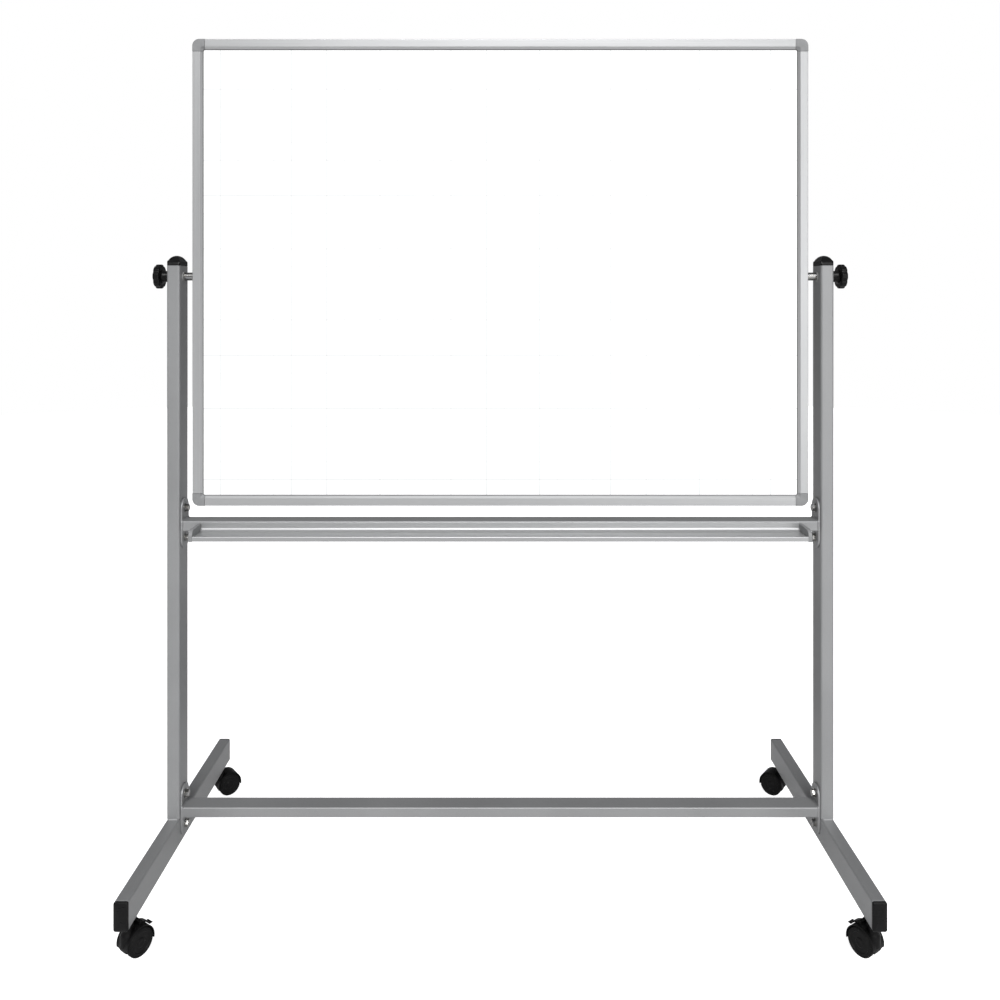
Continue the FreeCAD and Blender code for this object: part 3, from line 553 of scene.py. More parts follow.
def post_welds():
    """Weld beads across the front and back of each post's lower end, on top of the foot."""
    for name in SIDES:
        centre, size = middle(f"{name}_post")
        bottom = centre.z - size.z / 2
        half = size.x / 2 - TUBE_CORNER
        piece = Piece()
        for way in (-1, 1):
            y = centre.y + way * size.y / 2
            line = [(Vector((centre.x + end * half, y, bottom)), Y * way) for end in (-1, 1)]
            weld_run(piece, line, Z, 1.0)
        piece.make(f"{name}_post_welds", "stand", "silver_powder_coat", [COAT], sharp=60)


def bar_welds(bar, row):
    """Weld beads round both ends of a crossbar, on its end plates."""
    centre, size = middle(bar)
    for name, side in SIDES.items():
        outline = rectangle(size.y, size.z, BAR_CORNER, 3)
        outline.append(outline[0])
        edge = centre.x + side * size.x / 2
        line = []
        for i, p in enumerate(outline):
            before = outline[i - 1] if i else outline[-2]
            after = outline[i + 1] if i + 1 < len(outline) else outline[1]
            outward = Vector((0, (after - before).y, -(after - before).x)).normalized()
            line.append((Vector((edge, centre.y + p.x, centre.z + p.y)), outward))
        piece = weld_run(Piece(), line, X * -side, 0.8)
        piece.make(f"{name}_{row}_bar_weld", "stand", "silver_powder_coat", [COAT], sharp=60)


def dome_height(x, y, width, depth, rise, skirt):
    """Height of a cap's dome over a point of its section: two crossing arches."""
    heights = []
    for place, half in ((x, width / 2), (y, depth / 2)):
        crown = min(CAP_CROWN * half, rise - skirt)
        radius = (half * half + crown * crown) / (2 * crown)
        heights.append(rise - radius + math.sqrt(max(0.0, radius * radius - place * place)))
    apart = abs(heights[0] - heights[1])
    return min(heights) - CAP_SOFTNESS * math.log1p(math.exp(-apart / CAP_SOFTNESS)) * 0.5


def domed_cap(piece, width, depth, rise, skirt, matrix):
    """A cap for a tube end: a thin shadow gap, a skirt and a dome, with its own Z along the tube."""
    def height(point):
        return dome_height(point.x, point.y, width, depth, rise, skirt)

    since = len(piece.points)
    skin = rectangle(width, depth, TUBE_CORNER, 8)
    neck = inset(skin, 0.5 * MM)
    loops = [[(p.x, p.y, -3 * MM) for p in neck], [(p.x, p.y, 0.5 * MM) for p in neck]]
    loops.append([(p.x, p.y, 0.5 * MM) for p in inset(skin, 0.15 * MM)])
    loops.append([(p.x, p.y, 0.9 * MM) for p in skin])
    loops.append([(p.x, p.y, max(CAP_LOW, height(p) - CAP_ROUND)) for p in skin])
    for step in (0.12, 0.35, 0.7, 1.2, 1.9):
        line = inset(skin, step * MM)
        drop = CAP_ROUND * (1 - min(1.0, step * MM / CAP_EDGE)) ** 2
        loops.append([(p.x, p.y, height(p) - drop) for p in line])
    last = inset(skin, CAP_EDGE)
    for share in (0.85, 0.7, 0.55, 0.4, 0.25, 0.1, 0.02):
        line = [p * share for p in last]
        loops.append([(p.x, p.y, height(p)) for p in line])
    piece.loft(loops)
    return piece.placed(matrix, since)


def caps():
    """Caps on both posts and on both ends of both feet."""
    feet = Piece()
    for name in SIDES:
        post, post_size = middle(f"{name}_post")
        top, top_size = middle(f"{name}_post_cap")
        seat = post.z + post_size.z / 2
        rise = top.z + top_size.z / 2 - seat
        place = Matrix.Translation((post.x, post.y, seat))
        cap = domed_cap(Piece(), post_size.x, post_size.y, rise, CAP_SKIRT, place)
        cap.make(f"{name}_post_cap_moulding", "stand", "black_plastic", [BLACK], f"{name}_post_cap",
                 sharp=60)
        foot, foot_size = middle(f"{name}_foot")
        low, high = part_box("foot_caps")
        for way, tip in ((-1, low.y), (1, high.y)):
            end = foot.y + way * foot_size.y / 2
            matrix = basis((foot.x, end, foot.z), X, Z * -way, Y * way)
            domed_cap(feet, foot_size.x, foot_size.z, abs(tip - end), FOOT_CAP_SKIRT, matrix)
    feet.make("foot_cap_mouldings", "stand", "black_plastic", [BLACK], "foot_caps", sharp=60)


def plates_and_bolts():
    """End plates with their hexagon bolts and washers."""
    bolts = Piece()
    washers = Piece()
    for row in ("upper", "lower"):
        for name, side in SIDES.items():
            node = f"{name}_{row}_plate"
            centre, size = middle(node)
            r = size.y / 2
            half = size.z / 2 - r
            ends = arc((0, half), r, 0, 180, 24) + arc((0, -half), r, 180, 360, 24)
            plate = Piece().slab([Vector(p) for p in ends], -size.x / 2, size.x / 2, PLATE_EDGE)
            plate.placed(basis(centre, *ALONG_X))
            plate.make(f"{name}_{row}_end_plate", "stand", "silver_powder_coat", [COAT], node)
            face = centre.x - side * size.x / 2
            for way in (-1, 1):
                seat = basis((face, centre.y, centre.z + way * half), Y * side, Z, X * -side)
                washer_and_bolt(washers, bolts, seat, 17 * way + 7 * side)
    bolts.make("plate_bolt_heads", "stand", "zinc_steel", [ZINC], "plate_bolts", sharp=30)
    washers.make("plate_washer_rings", "stand", "zinc_steel", [ZINC], "plate_washers")


def washer_and_bolt(washers, bolts, seat, turn):
    """A washer on a face and a chamfered hexagon head on the washer. Its own Z leaves the face."""
    since = len(washers.points)
    bore = WASHER_BORE
    edge = 0.3 * MM
    thick = WASHER_THICK
    profile = [(bore, 0), (WASHER_R - edge, 0), (WASHER_R, edge), (WASHER_R, thick - edge),
               (WASHER_R - edge, thick), (bore, thick)]
    washers.lathe(profile, ring=True).placed(seat, since)
    since = len(bolts.points)
    steps = 72
    flat = BOLT_FLATS / 2
    levels = [(0.0, 0.93), (0.25 * MM, 0.95), (0.25 * MM, 1.16), (BOLT_HEAD - 1.3 * MM, 1.16),
              (BOLT_HEAD - 0.75 * MM, 1.10), (BOLT_HEAD - 0.2 * MM, 0.97), (BOLT_HEAD, 0.90),
              (BOLT_HEAD, 0.62), (BOLT_HEAD - 0.35 * MM, 0.55), (BOLT_HEAD - 0.35 * MM, 0.001)]
    loops = []
    for z, reach in levels:
        loop = []
        for a in turns(steps):
            side = (a + math.pi / 6) % (math.pi / 3) - math.pi / 6
            r = min(flat / math.cos(side), flat * reach)
            loop.append((r * math.cos(a), r * math.sin(a), thick + z))
        loops.append(loop)
    bolts.loft(loops).placed(seat @ Matrix.Rotation(math.radians(turn), 4, "Z"), since)


def rows_of_screws():
    """Pan-head screws with a round recess, under the tray's flange."""
    low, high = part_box("tray_screws")
    count = 5
    head_r = (high.y - low.y) / 2
    head = 2.4 * MM
    piece = Piece()
    for i in range(count):
        x = low.x + head_r + (high.x - low.x - 2 * head_r) * i / (count - 1)
        since = len(piece.points)
        profile = [(0.0001 * MM, head), (head_r, head), (head_r, head * 0.75), (head_r * 0.93, head * 0.4),
                   (head_r * 0.75, head * 0.14), (head_r * 0.45, 0), (head_r * 0.3, 0),
                   (head_r * 0.22, head * 0.5), (0.0001 * MM, head * 0.6)]
        piece.lathe(profile, 32).placed(Matrix.Translation((x, (low.y + high.y) / 2, low.z)), since)
    piece.make("tray_screw_heads", "stand", "zinc_steel", [ZINC], "tray_screws")


# ---- Pen tray ------------------------------------------------------------------------------------
def tray():
    """The extruded trough, with its end caps."""
    low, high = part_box("tray")
    bar_low, bar_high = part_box("upper_crossbar")
    back = bar_low.y
    wall = back - TRAY_WALL
    nose = low.y + TRAY_NOSE_R
    under = TRAY_FLOOR - TRAY_WALL
    corners = [
        (high.y, bar_low.z - TRAY_WALL, 0.3), (high.y, bar_low.z, 0.3), (back, bar_low.z, 0),
        (back, high.z, 0.95), (wall, high.z, 0.95), (wall, TRAY_FLOOR, TRAY_FILLET / MM),
        (nose + TRAY_RAMP, TRAY_FLOOR, 14.0), (nose, TRAY_NOSE_TOP, 2.5),
        (low.y, TRAY_NOSE_TOP, 2.4), (low.y, low.z, 0.9),
        (nose, low.z, 0.4), (nose, under, 0.5), (wall, under, 0), (wall, bar_low.z - TRAY_WALL, 0.3),
    ]
    outline = rounded([(y, z, radius * MM) for y, z, radius in corners], 8)
    piece = Piece().slab(outline, low.x, high.x, 0.1 * MM, steps=1)
    piece.placed(basis((0, 0, 0), *ALONG_X))
    piece.make("tray_extrusion", "stand", "anodised_aluminium", [TRAY_METAL], "tray")
    for name, side in SIDES.items():
        tray_cap(name, side)


def tray_cap(name, side):
    """A moulded end cap with a raised border on its outer face."""
    node = f"{name}_tray_cap"
    low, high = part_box(node)
    corners = [(high.y, low.z, 0.8 * MM), (high.y, high.z, 1.2 * MM),
               (low.y, high.z, TRAY_CAP_R), (low.y, low.z, 2.2 * MM)]
    outline = rounded(corners, 10)
    thick = high.x - low.x
    piece = Piece().slab(outline, -thick / 2, thick / 2, 0.7 * MM, steps=4)
    inner = inset(outline, 2.2 * MM)
    groove = inset(outline, 2.6 * MM)
    lift = thick / 2 + 0.3 * MM
    piece.loft([[(p.x, p.y, z) for p in line] for line, z in
                ((inner, 0), (inner, lift - 0.2 * MM), (groove, lift), (inset(outline, 3.4 * MM), lift))])
    piece.placed(basis(((low.x + high.x) / 2, 0, 0), Y, Z, X * side))
    piece.make(f"{name}_tray_end_cap", "stand", "grey_plastic", [GREY], node)


# ---- Board ---------------------------------------------------------------------------------------
def rail_section(proud=0.0, edge=RAIL_EDGE, thick=0.0):
    """Half a rail's section on one face: (distance in from the outside of the frame, height) points."""
    half = thick / 2 + proud
    lip = PANEL_HALF + LIP_EDGE
    bends = arc((edge - proud, half - edge), edge, 180, 90, 5)
    face = [(RAIL_FLAT - 0.5 * MM, half), (RAIL_FLAT - 0.1 * MM, half - 0.06 * MM),
            (RAIL_FLAT + 0.4 * MM, half - 0.45 * MM)]
    lip_points = [(RAIL_FACE - 0.3 * MM, lip + 0.25 * MM), (RAIL_FACE, lip - 0.1 * MM),
                  (RAIL_FACE, PANEL_HALF)]
    return bends + face + lip_points


def rail_loop(proud, thick):
    """The closed section of a rail or corner, through both faces of the board."""
    front = rail_section(proud, thick=thick)
    back = [(d, -h) for d, h in reversed(front)]
    return front + back


def rails():
    """The four extruded frame rails, each in the place of its CAD node."""
    ways = {"frame_left": (X, Z), "frame_right": (-X, Z), "frame_bottom": (Z, X), "frame_top": (-Z, X)}
    for node, (inwards, along) in ways.items():
        centre, size = middle(node)
        thick = size.y
        length = abs(along.dot(size))
        edge = centre - inwards * (abs(inwards.dot(size)) / 2)
        loops = []
        for end in (-1, 1):
            stop = edge + along * (end * (length / 2 - JOINT_GAP))
            loops.append([stop + inwards * d + Y * h for d, h in rail_loop(0.0, thick)])
        look = RAIL_Z if along is Z else RAIL_X
        Piece().loft(loops).make(f"{node}_rail", "board", "anodised_aluminium", [look], node, sharp=25)


def corner_point(d, h, along):
    """A point of the lower left corner: d in from the outside, and along its path from leg to leg."""
    radius = max(CORNER_OUTER_R - CORNER_PROUD - d, CORNER_INNER_R)
    centre = d + radius
    kind, share = along
    if kind == "up":
        return (d, h, centre + (CORNER_LEG - centre) * share)
    if kind == "level":
        return (centre + (CORNER_LEG - centre) * share, h, d)
    angle = math.radians(180 + 90 * share)
    return (centre + radius * math.cos(angle), h, centre + radius * math.sin(angle))


def corner_mouldings():
    """The four corner mouldings, a little proud of the rails."""
    for row, up in (("bottom", 1), ("top", -1)):
        for name, side in SIDES.items():
            node = f"corner_{row}_{name}"
            frame_low, frame_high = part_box(f"frame_{name}")
            thick = frame_high.y - frame_low.y
            outer_x = frame_low.x if side < 0 else frame_high.x
            low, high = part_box(node)
            outer_z = low.z + CORNER_PROUD if up > 0 else high.z - CORNER_PROUD
            stations = [("up", 1.0), ("up", 0.985), ("up", 0.02)]
            stations += [("bend", k / 10) for k in range(11)]
            stations += [("level", 0.02), ("level", 0.985), ("level", 1.0)]
            loops = []
            for station in stations:
                shrink = 0.35 * MM if station[1] == 1.0 and station[0] != "bend" else 0.0
                section = rail_loop(CORNER_PROUD - shrink, thick)
                loops.append([corner_point(d, h, station) for d, h in section])
            centre_y = (frame_low.y + frame_high.y) / 2
            matrix = basis((outer_x, centre_y, outer_z), X * -side, Y, Z * up)
            piece = Piece().loft(loops)
            piece.placed(matrix).make(f"{node}_moulding", "board", "grey_plastic", [GREY], node, sharp=30)


def panel_lip_shadow_strip():
    """Black strip in the gap between the rails' lips and the writing faces: painted shadow, standing in for the
    shade line that the lips cast on the panel.
    """
    low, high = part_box("frame_left")
    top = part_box("corner_top_right")[1]
    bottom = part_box("corner_bottom_left")[0]
    left = low.x + RAIL_FACE - 0.2 * MM
    right = -left
    floor = bottom.z + CORNER_PROUD + RAIL_FACE - 0.2 * MM
    roof = top.z - CORNER_PROUD - RAIL_FACE + 0.2 * MM
    centre_y = (low.y + high.y) / 2
    # Width of the black strip that paints the lips' shadow on the writing faces.
    strip = 1.3 * MM
    for name, way in (("front", -1), ("back", 1)):
        outer = rectangle(right - left, roof - floor, CORNER_INNER_R, 6)
        inner = rectangle(right - left - 2 * strip, roof - floor - 2 * strip, CORNER_INNER_R - strip, 6)
        piece = Piece().hollow(outer, inner, PANEL_HALF - 0.05 * MM, PANEL_HALF + 0.45 * MM, 0.1 * MM)
        piece.placed(basis((0, centre_y, (floor + roof) / 2), X * -way, Z, Y * way))
        piece.make(f"{name}_lip_shadow_strip", "board", "black_plastic", [BLACK])


# ---- Pivot and knobs -----------------------------------------------------------------------------
def pivots():
    """Bushes, spacers, washers and knobs on both sides."""
    bushes = Piece()
    spacers = Piece()
    washers = Piece()
    spacer_low, spacer_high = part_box("pivot_spacers")
    bush_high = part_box("pivot_bushes")[1]
    washer_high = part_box("knob_washers")[1]
    axis = Vector(JOINTS["board_turn"]["pos_m"])
    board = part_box("frame_right")[1].x
    post_low, post_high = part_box("right_post")
    spacer_r = (spacer_high.z - spacer_low.z) / 2
    washer_r = (washer_high.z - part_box("knob_washers")[0].z) / 2
    for name, side in SIDES.items():
        place = basis(axis, Y * side, Z, X * side)
        e = 0.4 * MM
        since = len(bushes.points)
        flange = post_low.x - BUSH_FLANGE
        bushes.lathe([(STUD_R + 0.05 * MM, flange), (BUSH_FLANGE_R - e, flange), (BUSH_FLANGE_R, flange + e),
                      (BUSH_FLANGE_R, post_low.x), (7 * MM, post_low.x), (7 * MM, bush_high.x),
                      (STUD_R + 0.05 * MM, bush_high.x)], ring=True).placed(place, since)
        since = len(spacers.points)
        end = spacer_high.x
        spacers.lathe([(STUD_R + 0.3 * MM, board), (spacer_r - e, board), (spacer_r, board + e),
                       (spacer_r, end - e), (spacer_r - e, end), (STUD_R + 0.3 * MM, end)], ring=True)
        spacers.placed(place, since)
        since = len(washers.points)
        washers.lathe([(STUD_R + 0.3 * MM, post_high.x), (washer_r - e, post_high.x),
                       (washer_r, post_high.x + e),
                       (washer_r, washer_high.x - e), (washer_r - e, washer_high.x),
                       (STUD_R + 0.3 * MM, washer_high.x)], ring=True).placed(place, since)
        knob(name, place)
    bushes.make("pivot_bush_flanges", "stand", "grey_nylon", [NYLON], "pivot_bushes")
    spacers.make("pivot_spacer_sleeves", "board", "zinc_steel", [ZINC], "pivot_spacers")
    washers.make("knob_washer_rings", "stand", "zinc_steel", [ZINC], "knob_washers")


def lobe(angle, share):
    """Radius of the star knob's outline as a share of its full radius, its lobes faded by a share."""
    step = 2 * math.pi / KNOB_LOBES
    away = angle % step - step / 2
    reach = KNOB_R - SCALLOP_DEPTH + SCALLOP_R
    dip = SCALLOP_R ** 2 - (reach * math.sin(away)) ** 2
    cut = reach * math.cos(away) - math.sqrt(dip) if dip > 0 else KNOB_R * 1.2
    soft = 0.5 * MM
    radius = -soft * math.log(math.exp(-cut / soft) + math.exp(-KNOB_R / soft))
    return 1 + (radius / KNOB_R - 1) * share


def knob(name, place):
    """Star knob with a waisted hub, grip lobes, a rounded rim and a capped outer face."""
    low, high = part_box(f"{name}_knob")
    near = min(abs(low.x), abs(high.x))
    far = max(abs(low.x), abs(high.x))
    rim = far - KNOB_RIM
    e = KNOB_EDGE
    hub = KNOB_HUB_R / MM
    full = KNOB_R / MM
    rings = [(KNOB_BORE, near, 0), (hub - 0.6, near, 0), (hub, near + 0.6 * MM, 0),
             (hub + 0.5, near + 6 * MM, 0), (hub + 1.2, rim - 3 * MM, 0),
             (hub + 2.4, rim - 1.0 * MM, 0), (hub + 4.2, rim - 0.1 * MM, 0.1)]
    rings += [(18.0, rim, 0.5), (20.5, rim, 0.9)]
    bends = [math.pi / 8 * k for k in range(5)]
    rings += [(full - e / MM * (1 - math.sin(a)), rim + e * (1 - math.cos(a)), 1) for a in bends[1:]]
    rings += [(full, rim + KNOB_RIM / 2, 1)]
    rings += [(full - e / MM * (1 - math.cos(a)), far - 0.6 * MM - e * (1 - math.sin(a)), 1)
              for a in bends[:-1]]
    rings += [(20.5, far - 0.45 * MM, 0.9), (17.0, far - 0.15 * MM, 0.5), (14.6, far, 0.1),
              (14.2, far - 0.1 * MM, 0), (14.0, far - 1.0 * MM, 0), (13.4, far - 1.0 * MM, 0),
              (13.1, far - 0.25 * MM, 0), (12.0, far - 0.05 * MM, 0), (6.0, far, 0), (0.001, far, 0)]
    steps = 160
    loops = [[(p.x, p.y, near + KNOB_DEEP) for p in circle(KNOB_BORE * MM, steps)]]
    for radius, x, share in rings:
        reaches = [(radius * MM * lobe(a, share), a) for a in turns(steps)]
        loops.append([(reach * math.cos(a), reach * math.sin(a), x) for reach, a in reaches])
    piece = Piece().loft(loops)
    axis = place.translation
    piece.placed(basis(axis, *[place.to_3x3() @ d for d in (X, Y, Z)]))
    piece.make(f"{name}_star_knob", f"{name}_knob", "black_plastic", [KNOB_BLACK], f"{name}_knob",
               sharp=35)


# ---- Casters -------------------------------------------------------------------------------------
def caster_frame(row, name):
    """Where a caster stands and its trail, from its joints. Its own X trails and Y is the axle."""
    swivel = Vector(JOINTS[f"{row}_{name}_swivel"]["pos_m"])
    spin = JOINTS[f"{row}_{name}_wheel_a_spin"]
    wheel = Vector(spin["pos_m"])
    across = Vector(spin["axis"])
    trail = Vector((wheel.x - swivel.x, wheel.y - swivel.y, 0))
    origin = Vector((swivel.x, swivel.y, 0))
    return basis(origin, trail.normalized(), across, Z), trail.length, wheel.z


def swept(piece, section, stations, kind=0):
    """A section of (across, out) points carried through stations of (x, z, angle) in a caster's own frame."""
    loops = []
    for x, z, angle in stations:
        way = (math.cos(angle), math.sin(angle))
        loops.append([(x + out * way[0], across, z + out * way[1]) for across, out in section])
    return piece.loft(loops, kind)


def housing(row, name, matrix, trail, wheel_z, far):
    """Hood with a rolled brim, the web between the wheels, and the neck."""
    node = f"{row}_{name}_caster_housing"
    hood_z = wheel_z + HOOD_LIFT
    start = -math.asin((hood_z - HOOD_LOW) / HOOD_R)
    inner = HOOD_R - HOOD_THICK
    brim = 1.3 * MM
    section = [(-far, inner), (-far, HOOD_R - 0.5 * MM), (-far + 0.15 * MM, HOOD_R - 0.15 * MM),
               (-far + 0.5 * MM, HOOD_R), (-far + brim, HOOD_R),
               (-far + brim + 0.5 * MM, HOOD_R - 0.55 * MM), (-far / 2, HOOD_R - 0.25 * MM),
               (0, HOOD_R - 0.15 * MM)]
    section += [(-across, out) for across, out in reversed(section[:-1])]
    steps = 40
    stations = [(trail, hood_z, start + (math.pi - 2 * start) * k / steps) for k in range(steps + 1)]
    piece = swept(Piece(), section, stations)
    outline = rounded([(x, z, 0) for x, z in arc((trail, hood_z), inner + 0.3 * MM, -30, 210, 40)]
                      + [(trail - 14 * MM, WEB_LOW, 3 * MM), (trail + 14 * MM, WEB_LOW, 3 * MM)], 4)
    since = len(piece.points)
    piece.slab(outline, -WEB_HALF, WEB_HALF, 0.5 * MM)
    piece.placed(basis((0, 0, 0), X, Z, -Y), since)
    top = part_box(f"rear_{name}_caster_housing")[1].z
    r = NECK_R
    piece.lathe([(0.001 * MM, hood_z), (r + 3 * MM, hood_z), (r + 3 * MM, hood_z + 17 * MM),
                 (r + 1.6 * MM, hood_z + 20 * MM), (r + 0.6 * MM, hood_z + 23 * MM),
                 (r, hood_z + 27 * MM), (r, top - 3.2 * MM), (r - 0.5 * MM, top - 2.9 * MM),
                 (r - 0.5 * MM, top - 2.2 * MM), (r, top - 1.9 * MM), (r, top - 0.6 * MM),
                 (r - 0.6 * MM, top), (0.001 * MM, top)])
    if row == "front":
        brake_ears(piece, trail, hood_z)
    piece.placed(matrix)
    piece.make(f"{row}_{name}_caster_hood", f"{row}_{name}_caster", "black_plastic", [HOUSING_BLACK],
               node, sharp=35)


def lever_axis(trail, hood_z):
    """Axis of the brake lever in a caster's own frame, as x and z."""
    reach = HOOD_R + LEVER_GAP + LEVER_BARREL_R
    angle = math.radians(LEVER_HIGH)
    return trail + reach * math.cos(angle), hood_z + reach * math.sin(angle)


def brake_ears(piece, trail, hood_z):
    """Two ears on the hood that hold the lever's pins."""
    x, z = lever_axis(trail, hood_z)
    for way in (-1, 1):
        low = LEVER_HALF + 0.3 * MM if way > 0 else -LEVER_HALF - 0.3 * MM - EAR_THICK
        outline = [Vector(p) for p in arc((x, z), EAR_R, 0, 180, 12)]
        outline += [Vector((x - EAR_R - 1.2 * MM, z - 6 * MM)), Vector((x + EAR_R + 1.2 * MM, z - 6 * MM))]
        since = len(piece.points)
        piece.slab(outline, -low - EAR_THICK, -low, 0.4 * MM)
        piece.placed(basis((0, 0, 0), X, Z, -Y), since)


def lever(row, name, matrix, trail, wheel_z):
    """Curved pedal with a rolled toe, grip ribs and its barrel."""
    hood_z = wheel_z + HOOD_LIFT
    mid_r = HOOD_R + LEVER_GAP + LEVER_THICK / 2
    section = [(p.x, p.y) for p in rectangle(2 * LEVER_HALF, LEVER_THICK, 0.7 * MM, 3)]
    stations = []
    for k in range(25):
        degrees = LEVER_HIGH + (LEVER_LOW - LEVER_HIGH) * k / 24
        angle = math.radians(degrees)
        reach = mid_r + (LEVER_RIB if degrees < 60 and k % 3 == 0 else 0)
        stations.append((trail + reach * math.cos(angle), hood_z + reach * math.sin(angle), angle))
    for k in range(1, 7):
        share = k / 6
        angle = math.radians(LEVER_LOW - 5 * share)
        reach = mid_r + LEVER_TAB * (1 - math.cos(share * math.pi / 2))
        turn = angle - share * 0.9
        stations.append((trail + reach * math.cos(angle), hood_z + reach * math.sin(angle), turn))
    piece = swept(Piece(), section, stations)
    x, z = lever_axis(trail, hood_z)
    since = len(piece.points)
    reach = LEVER_HALF + 0.3 * MM + EAR_THICK
    pin = LEVER_PIN_R
    barrel = LEVER_BARREL_R
    piece.lathe([(0.001 * MM, -reach), (pin, -reach), (pin, -LEVER_HALF), (barrel, -LEVER_HALF),
                 (barrel, LEVER_HALF), (pin, LEVER_HALF), (pin, reach), (0.001 * MM, reach)], 24)
    piece.placed(basis((x, 0, z), X, Z, -Y), since)
    piece.placed(matrix)
    piece.make(f"{row}_{name}_brake_pedal", f"{row}_{name}_brake", "black_plastic", [HOUSING_BLACK],
               f"{row}_{name}_brake_lever", sharp=35)


def wheel(row, name, side_name, way, matrix, trail, wheel_z, near, far):
    """A wheel with a tread band, a dished disc and a hub cap on its outer face."""
    r = wheel_z
    e = 2.2 * MM
    width = far - near
    bends = [math.pi / 6 * k for k in range(1, 4)]
    tread = [(r - e, 0)] + [(r - e + e * math.sin(a), e - e * math.cos(a)) for a in bends]
    tread += [(r, width * 0.5), (r, width - e)]
    tread += [(r - e + e * math.cos(a), width - e + e * math.sin(a)) for a in bends]
    tread += [(r - e - 0.7 * MM, width)]
    disc = [(r - e - 1.0 * MM, width - 0.35 * MM), (r - e - 1.3 * MM, width - 0.05 * MM),
            (17.2 * MM, width - 0.05 * MM), (16.6 * MM, width - 0.9 * MM), (15.4 * MM, width - 1.2 * MM),
            (8.4 * MM, width - 1.2 * MM), (7.6 * MM, width - 0.5 * MM), (7.0 * MM, width - 0.1 * MM),
            (4.4 * MM, width), (3.9 * MM, width - 0.35 * MM), (0.001 * MM, width - 0.4 * MM)]
    profile = [(0.001 * MM, 0)] + tread + disc
    count = 72
    piece = Piece().lathe(profile, count)
    first = len(tread) * count
    last = (len(profile) - 1) * count
    piece.kinds[first:last] = [1] * (last - first)
    piece.placed(matrix @ basis((trail, way * near, wheel_z), X, Z * -way, Y * way))
    piece.make(f"{row}_{name}_wheel_{side_name}_tyre", f"{row}_{name}_wheel_{side_name}", "wheel_black",
               [TREAD, HOUSING_BLACK], f"{row}_{name}_wheel_{side_name}", sharp=40)


def stems():
    """The hexagonal collar and stem that show between each caster's neck and the foot."""
    piece = Piece()
    foot_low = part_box("left_foot")[0].z
    for row in ("front", "rear"):
        for name in SIDES:
            matrix, trail, wheel_z = caster_frame(row, name)
            since = len(piece.points)
            reach = COLLAR_FLATS / 2 / math.cos(math.pi / 6)
            corners = [(reach * math.cos(a), reach * math.sin(a), 0.4 * MM) for a in turns(6)]
            piece.slab(rounded(corners, 2), foot_low - 3 * MM, foot_low, 0.4 * MM)
            top = foot_low - 2.9 * MM
            piece.lathe([(0.001 * MM, wheel_z), (STEM_R, wheel_z), (STEM_R, top), (0.001 * MM, top)], 32)
            piece.placed(matrix, since)
    piece.make("caster_stem_collars", "stand", "zinc_steel", [ZINC], "caster_stems")


def casters():
    """All four casters."""
    near = WEB_HALF + WHEEL_GAP
    far = near + WHEEL_WIDTH
    for row in ("front", "rear"):
        for name in SIDES:
            matrix, trail, wheel_z = caster_frame(row, name)
            housing(row, name, matrix.copy(), trail, wheel_z, far)
            for side_name, way in (("a", 1), ("b", -1)):
                wheel(row, name, side_name, way, matrix.copy(), trail, wheel_z, near, far)
            if row == "front":
                lever(row, name, matrix.copy(), trail, wheel_z)
    stems()


# ---- CAD nodes that stay -------------------------------------------------------------------------
def finish_cad_nodes():
    """Gives each CAD node that still shows the material of its slot."""
    looks = {"zinc_steel": ZINC, "brass_insert": BRASS, "grey_nylon": NYLON, "board_core": CORE,
             "white_enamel_steel": ENAMEL, "silver_powder_coat": COAT, "black_plastic": BLACK,
             "anodised_aluminium": RAIL_X, "grey_plastic": GREY, "wheel_black": TREAD}
    slots = {part["node"]: part["material_slot"] for part in frame["record"]["subparts"]}
    for node, piece in frame["nodes"].items():
        if piece.hide_render:
            continue
        if not piece.material_slots:
            piece.data.materials.append(None)
        for slot in piece.material_slots:
            slot.material = looks[slots[node]]


# ---- Studio --------------------------------------------------------------------------------------
CAMERA_BACK = 1.847            # from the posts' middle plane to the camera
CAMERA_UP = 1.127
FOCAL_SHARE = 0.9283           # focal length as a share of the picture's width
HORIZON = 0.1958               # the horizon's height above the picture's middle, as a share
FLOOR_R = 9.0


def camera():
    """A level camera in front of the board, its picture shifted down to take in the casters."""
    post = middle("left_post")[0]
    data = bpy.data.cameras.new("camera")
    data.sensor_width = 36
    data.lens = FOCAL_SHARE * data.sensor_width
    data.shift_y = -HORIZON
    data.shift_x = -0.0003
    made = bpy.data.objects.new("camera", data)
    made.location = (0, post.y - CAMERA_BACK, CAMERA_UP)
    made.rotation_euler = (math.radians(90), 0, 0)
    bpy.context.scene.collection.objects.link(made)
    bpy.context.scene.camera = made


def lamp(name, kind, energy, place, target, **settings):
    """A light at a place, turned to a target."""
    data = bpy.data.lights.new(name, kind)
    data.energy = energy
    for key, value in settings.items():
        setattr(data, key, value)
    made = bpy.data.objects.new(name, data)
    made.location = place
    made.rotation_euler = (Vector(target) - Vector(place)).to_track_quat("-Z", "Y").to_euler()
    bpy.context.scene.collection.objects.link(made)
    return made


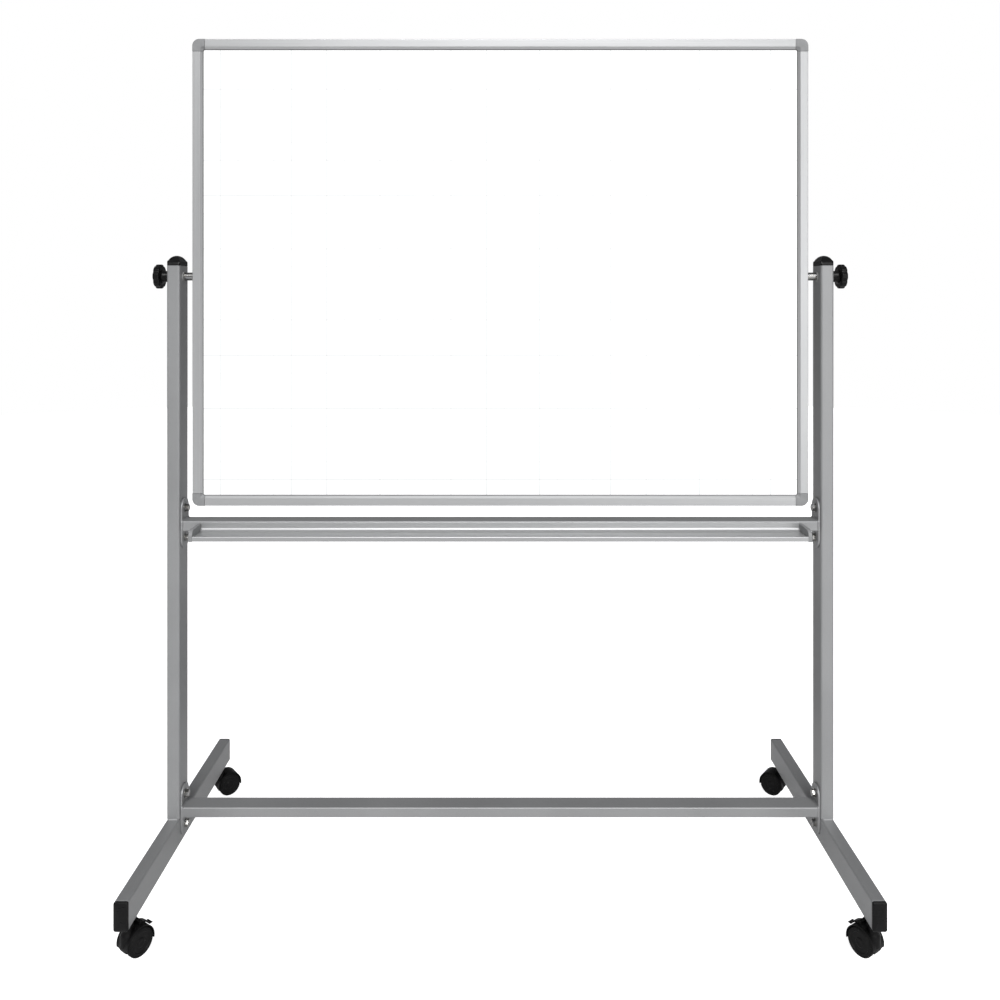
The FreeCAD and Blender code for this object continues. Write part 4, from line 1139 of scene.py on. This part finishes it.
def studio():
    """Pale floor, soft key light from the front and above, and a dim even surround."""
    floor = Piece().lathe([(0.001 * MM, -0.01), (FLOOR_R, -0.01), (FLOOR_R, 0), (0.001 * MM, 0)], 96)
    mesh = bpy.data.meshes.new("floor")
    mesh.from_pydata([tuple(p) for p in floor.points], [], floor.faces)
    made = bpy.data.objects.new("floor", mesh)
    bpy.context.scene.collection.objects.link(made)
    look = Look("pale_floor", (0.88, 0.88, 0.88), 0.8)
    look.shader.inputs["Emission Color"].default_value = (1, 1, 1, 1)
    glow = look.range(look.node("LightPath").outputs["Is Camera Ray"], 0.0, 1.0, 0.05, 0.86)
    look.tree.links.new(glow, look.shader.inputs["Emission Strength"])
    look.colour(look.blend(look.range(look.noise(1.5), 0.3, 0.7), (0.87, 0.87, 0.87), (0.89, 0.89, 0.89)))
    mesh.materials.append(look.material)
    lamp("key", "SUN", 2.75, (0.1, -3.2, 2.6), (0, 0, 0), angle=math.radians(30))
    lamp("front_box", "AREA", 16, (0.3, -2.6, 2.3), (0.1, 0, 1.1), size=1.6).visible_glossy = False
    lamp("right_glow", "AREA", 45, (2.4, -4.6, 1.3), (0.5, 0, 1.1), size=2.6).visible_diffuse = False
    world = bpy.data.worlds.new("surround")
    bpy.context.scene.world = world
    world.use_nodes = True
    tree = world.node_tree
    seen = tree.nodes.new("ShaderNodeBackground")
    seen.inputs["Color"].default_value = (1, 1, 1, 1)
    light = tree.nodes["Background"]
    light.inputs["Color"].default_value = (0.17, 0.17, 0.175, 1)
    pick = tree.nodes.new("ShaderNodeMixShader")
    path = tree.nodes.new("ShaderNodeLightPath")
    tree.links.new(path.outputs["Is Camera Ray"], pick.inputs[0])
    tree.links.new(light.outputs[0], pick.inputs[1])
    tree.links.new(seen.outputs[0], pick.inputs[2])
    tree.links.new(pick.outputs[0], tree.nodes["World Output"].inputs["Surface"])
    bpy.context.scene.view_settings.view_transform = "Standard"


# ---- Everything ----------------------------------------------------------------------------------
camera()
studio()
for side_name in SIDES:
    tube(f"{side_name}_post_tube", f"{side_name}_post", ALONG_Z, TUBE_CORNER)
    tube(f"{side_name}_foot_tube", f"{side_name}_foot", ALONG_Y, TUBE_CORNER)
tube("upper_bar_tube", "upper_crossbar", ALONG_X, BAR_CORNER)
tube("lower_bar_tube", "lower_crossbar", ALONG_X, BAR_CORNER)
post_welds()
bar_welds("upper_crossbar", "upper")
bar_welds("lower_crossbar", "lower")
caps()
plates_and_bolts()
rows_of_screws()
tray()
rails()
corner_mouldings()
panel_lip_shadow_strip()
pivots()
casters()
finish_cad_nodes()
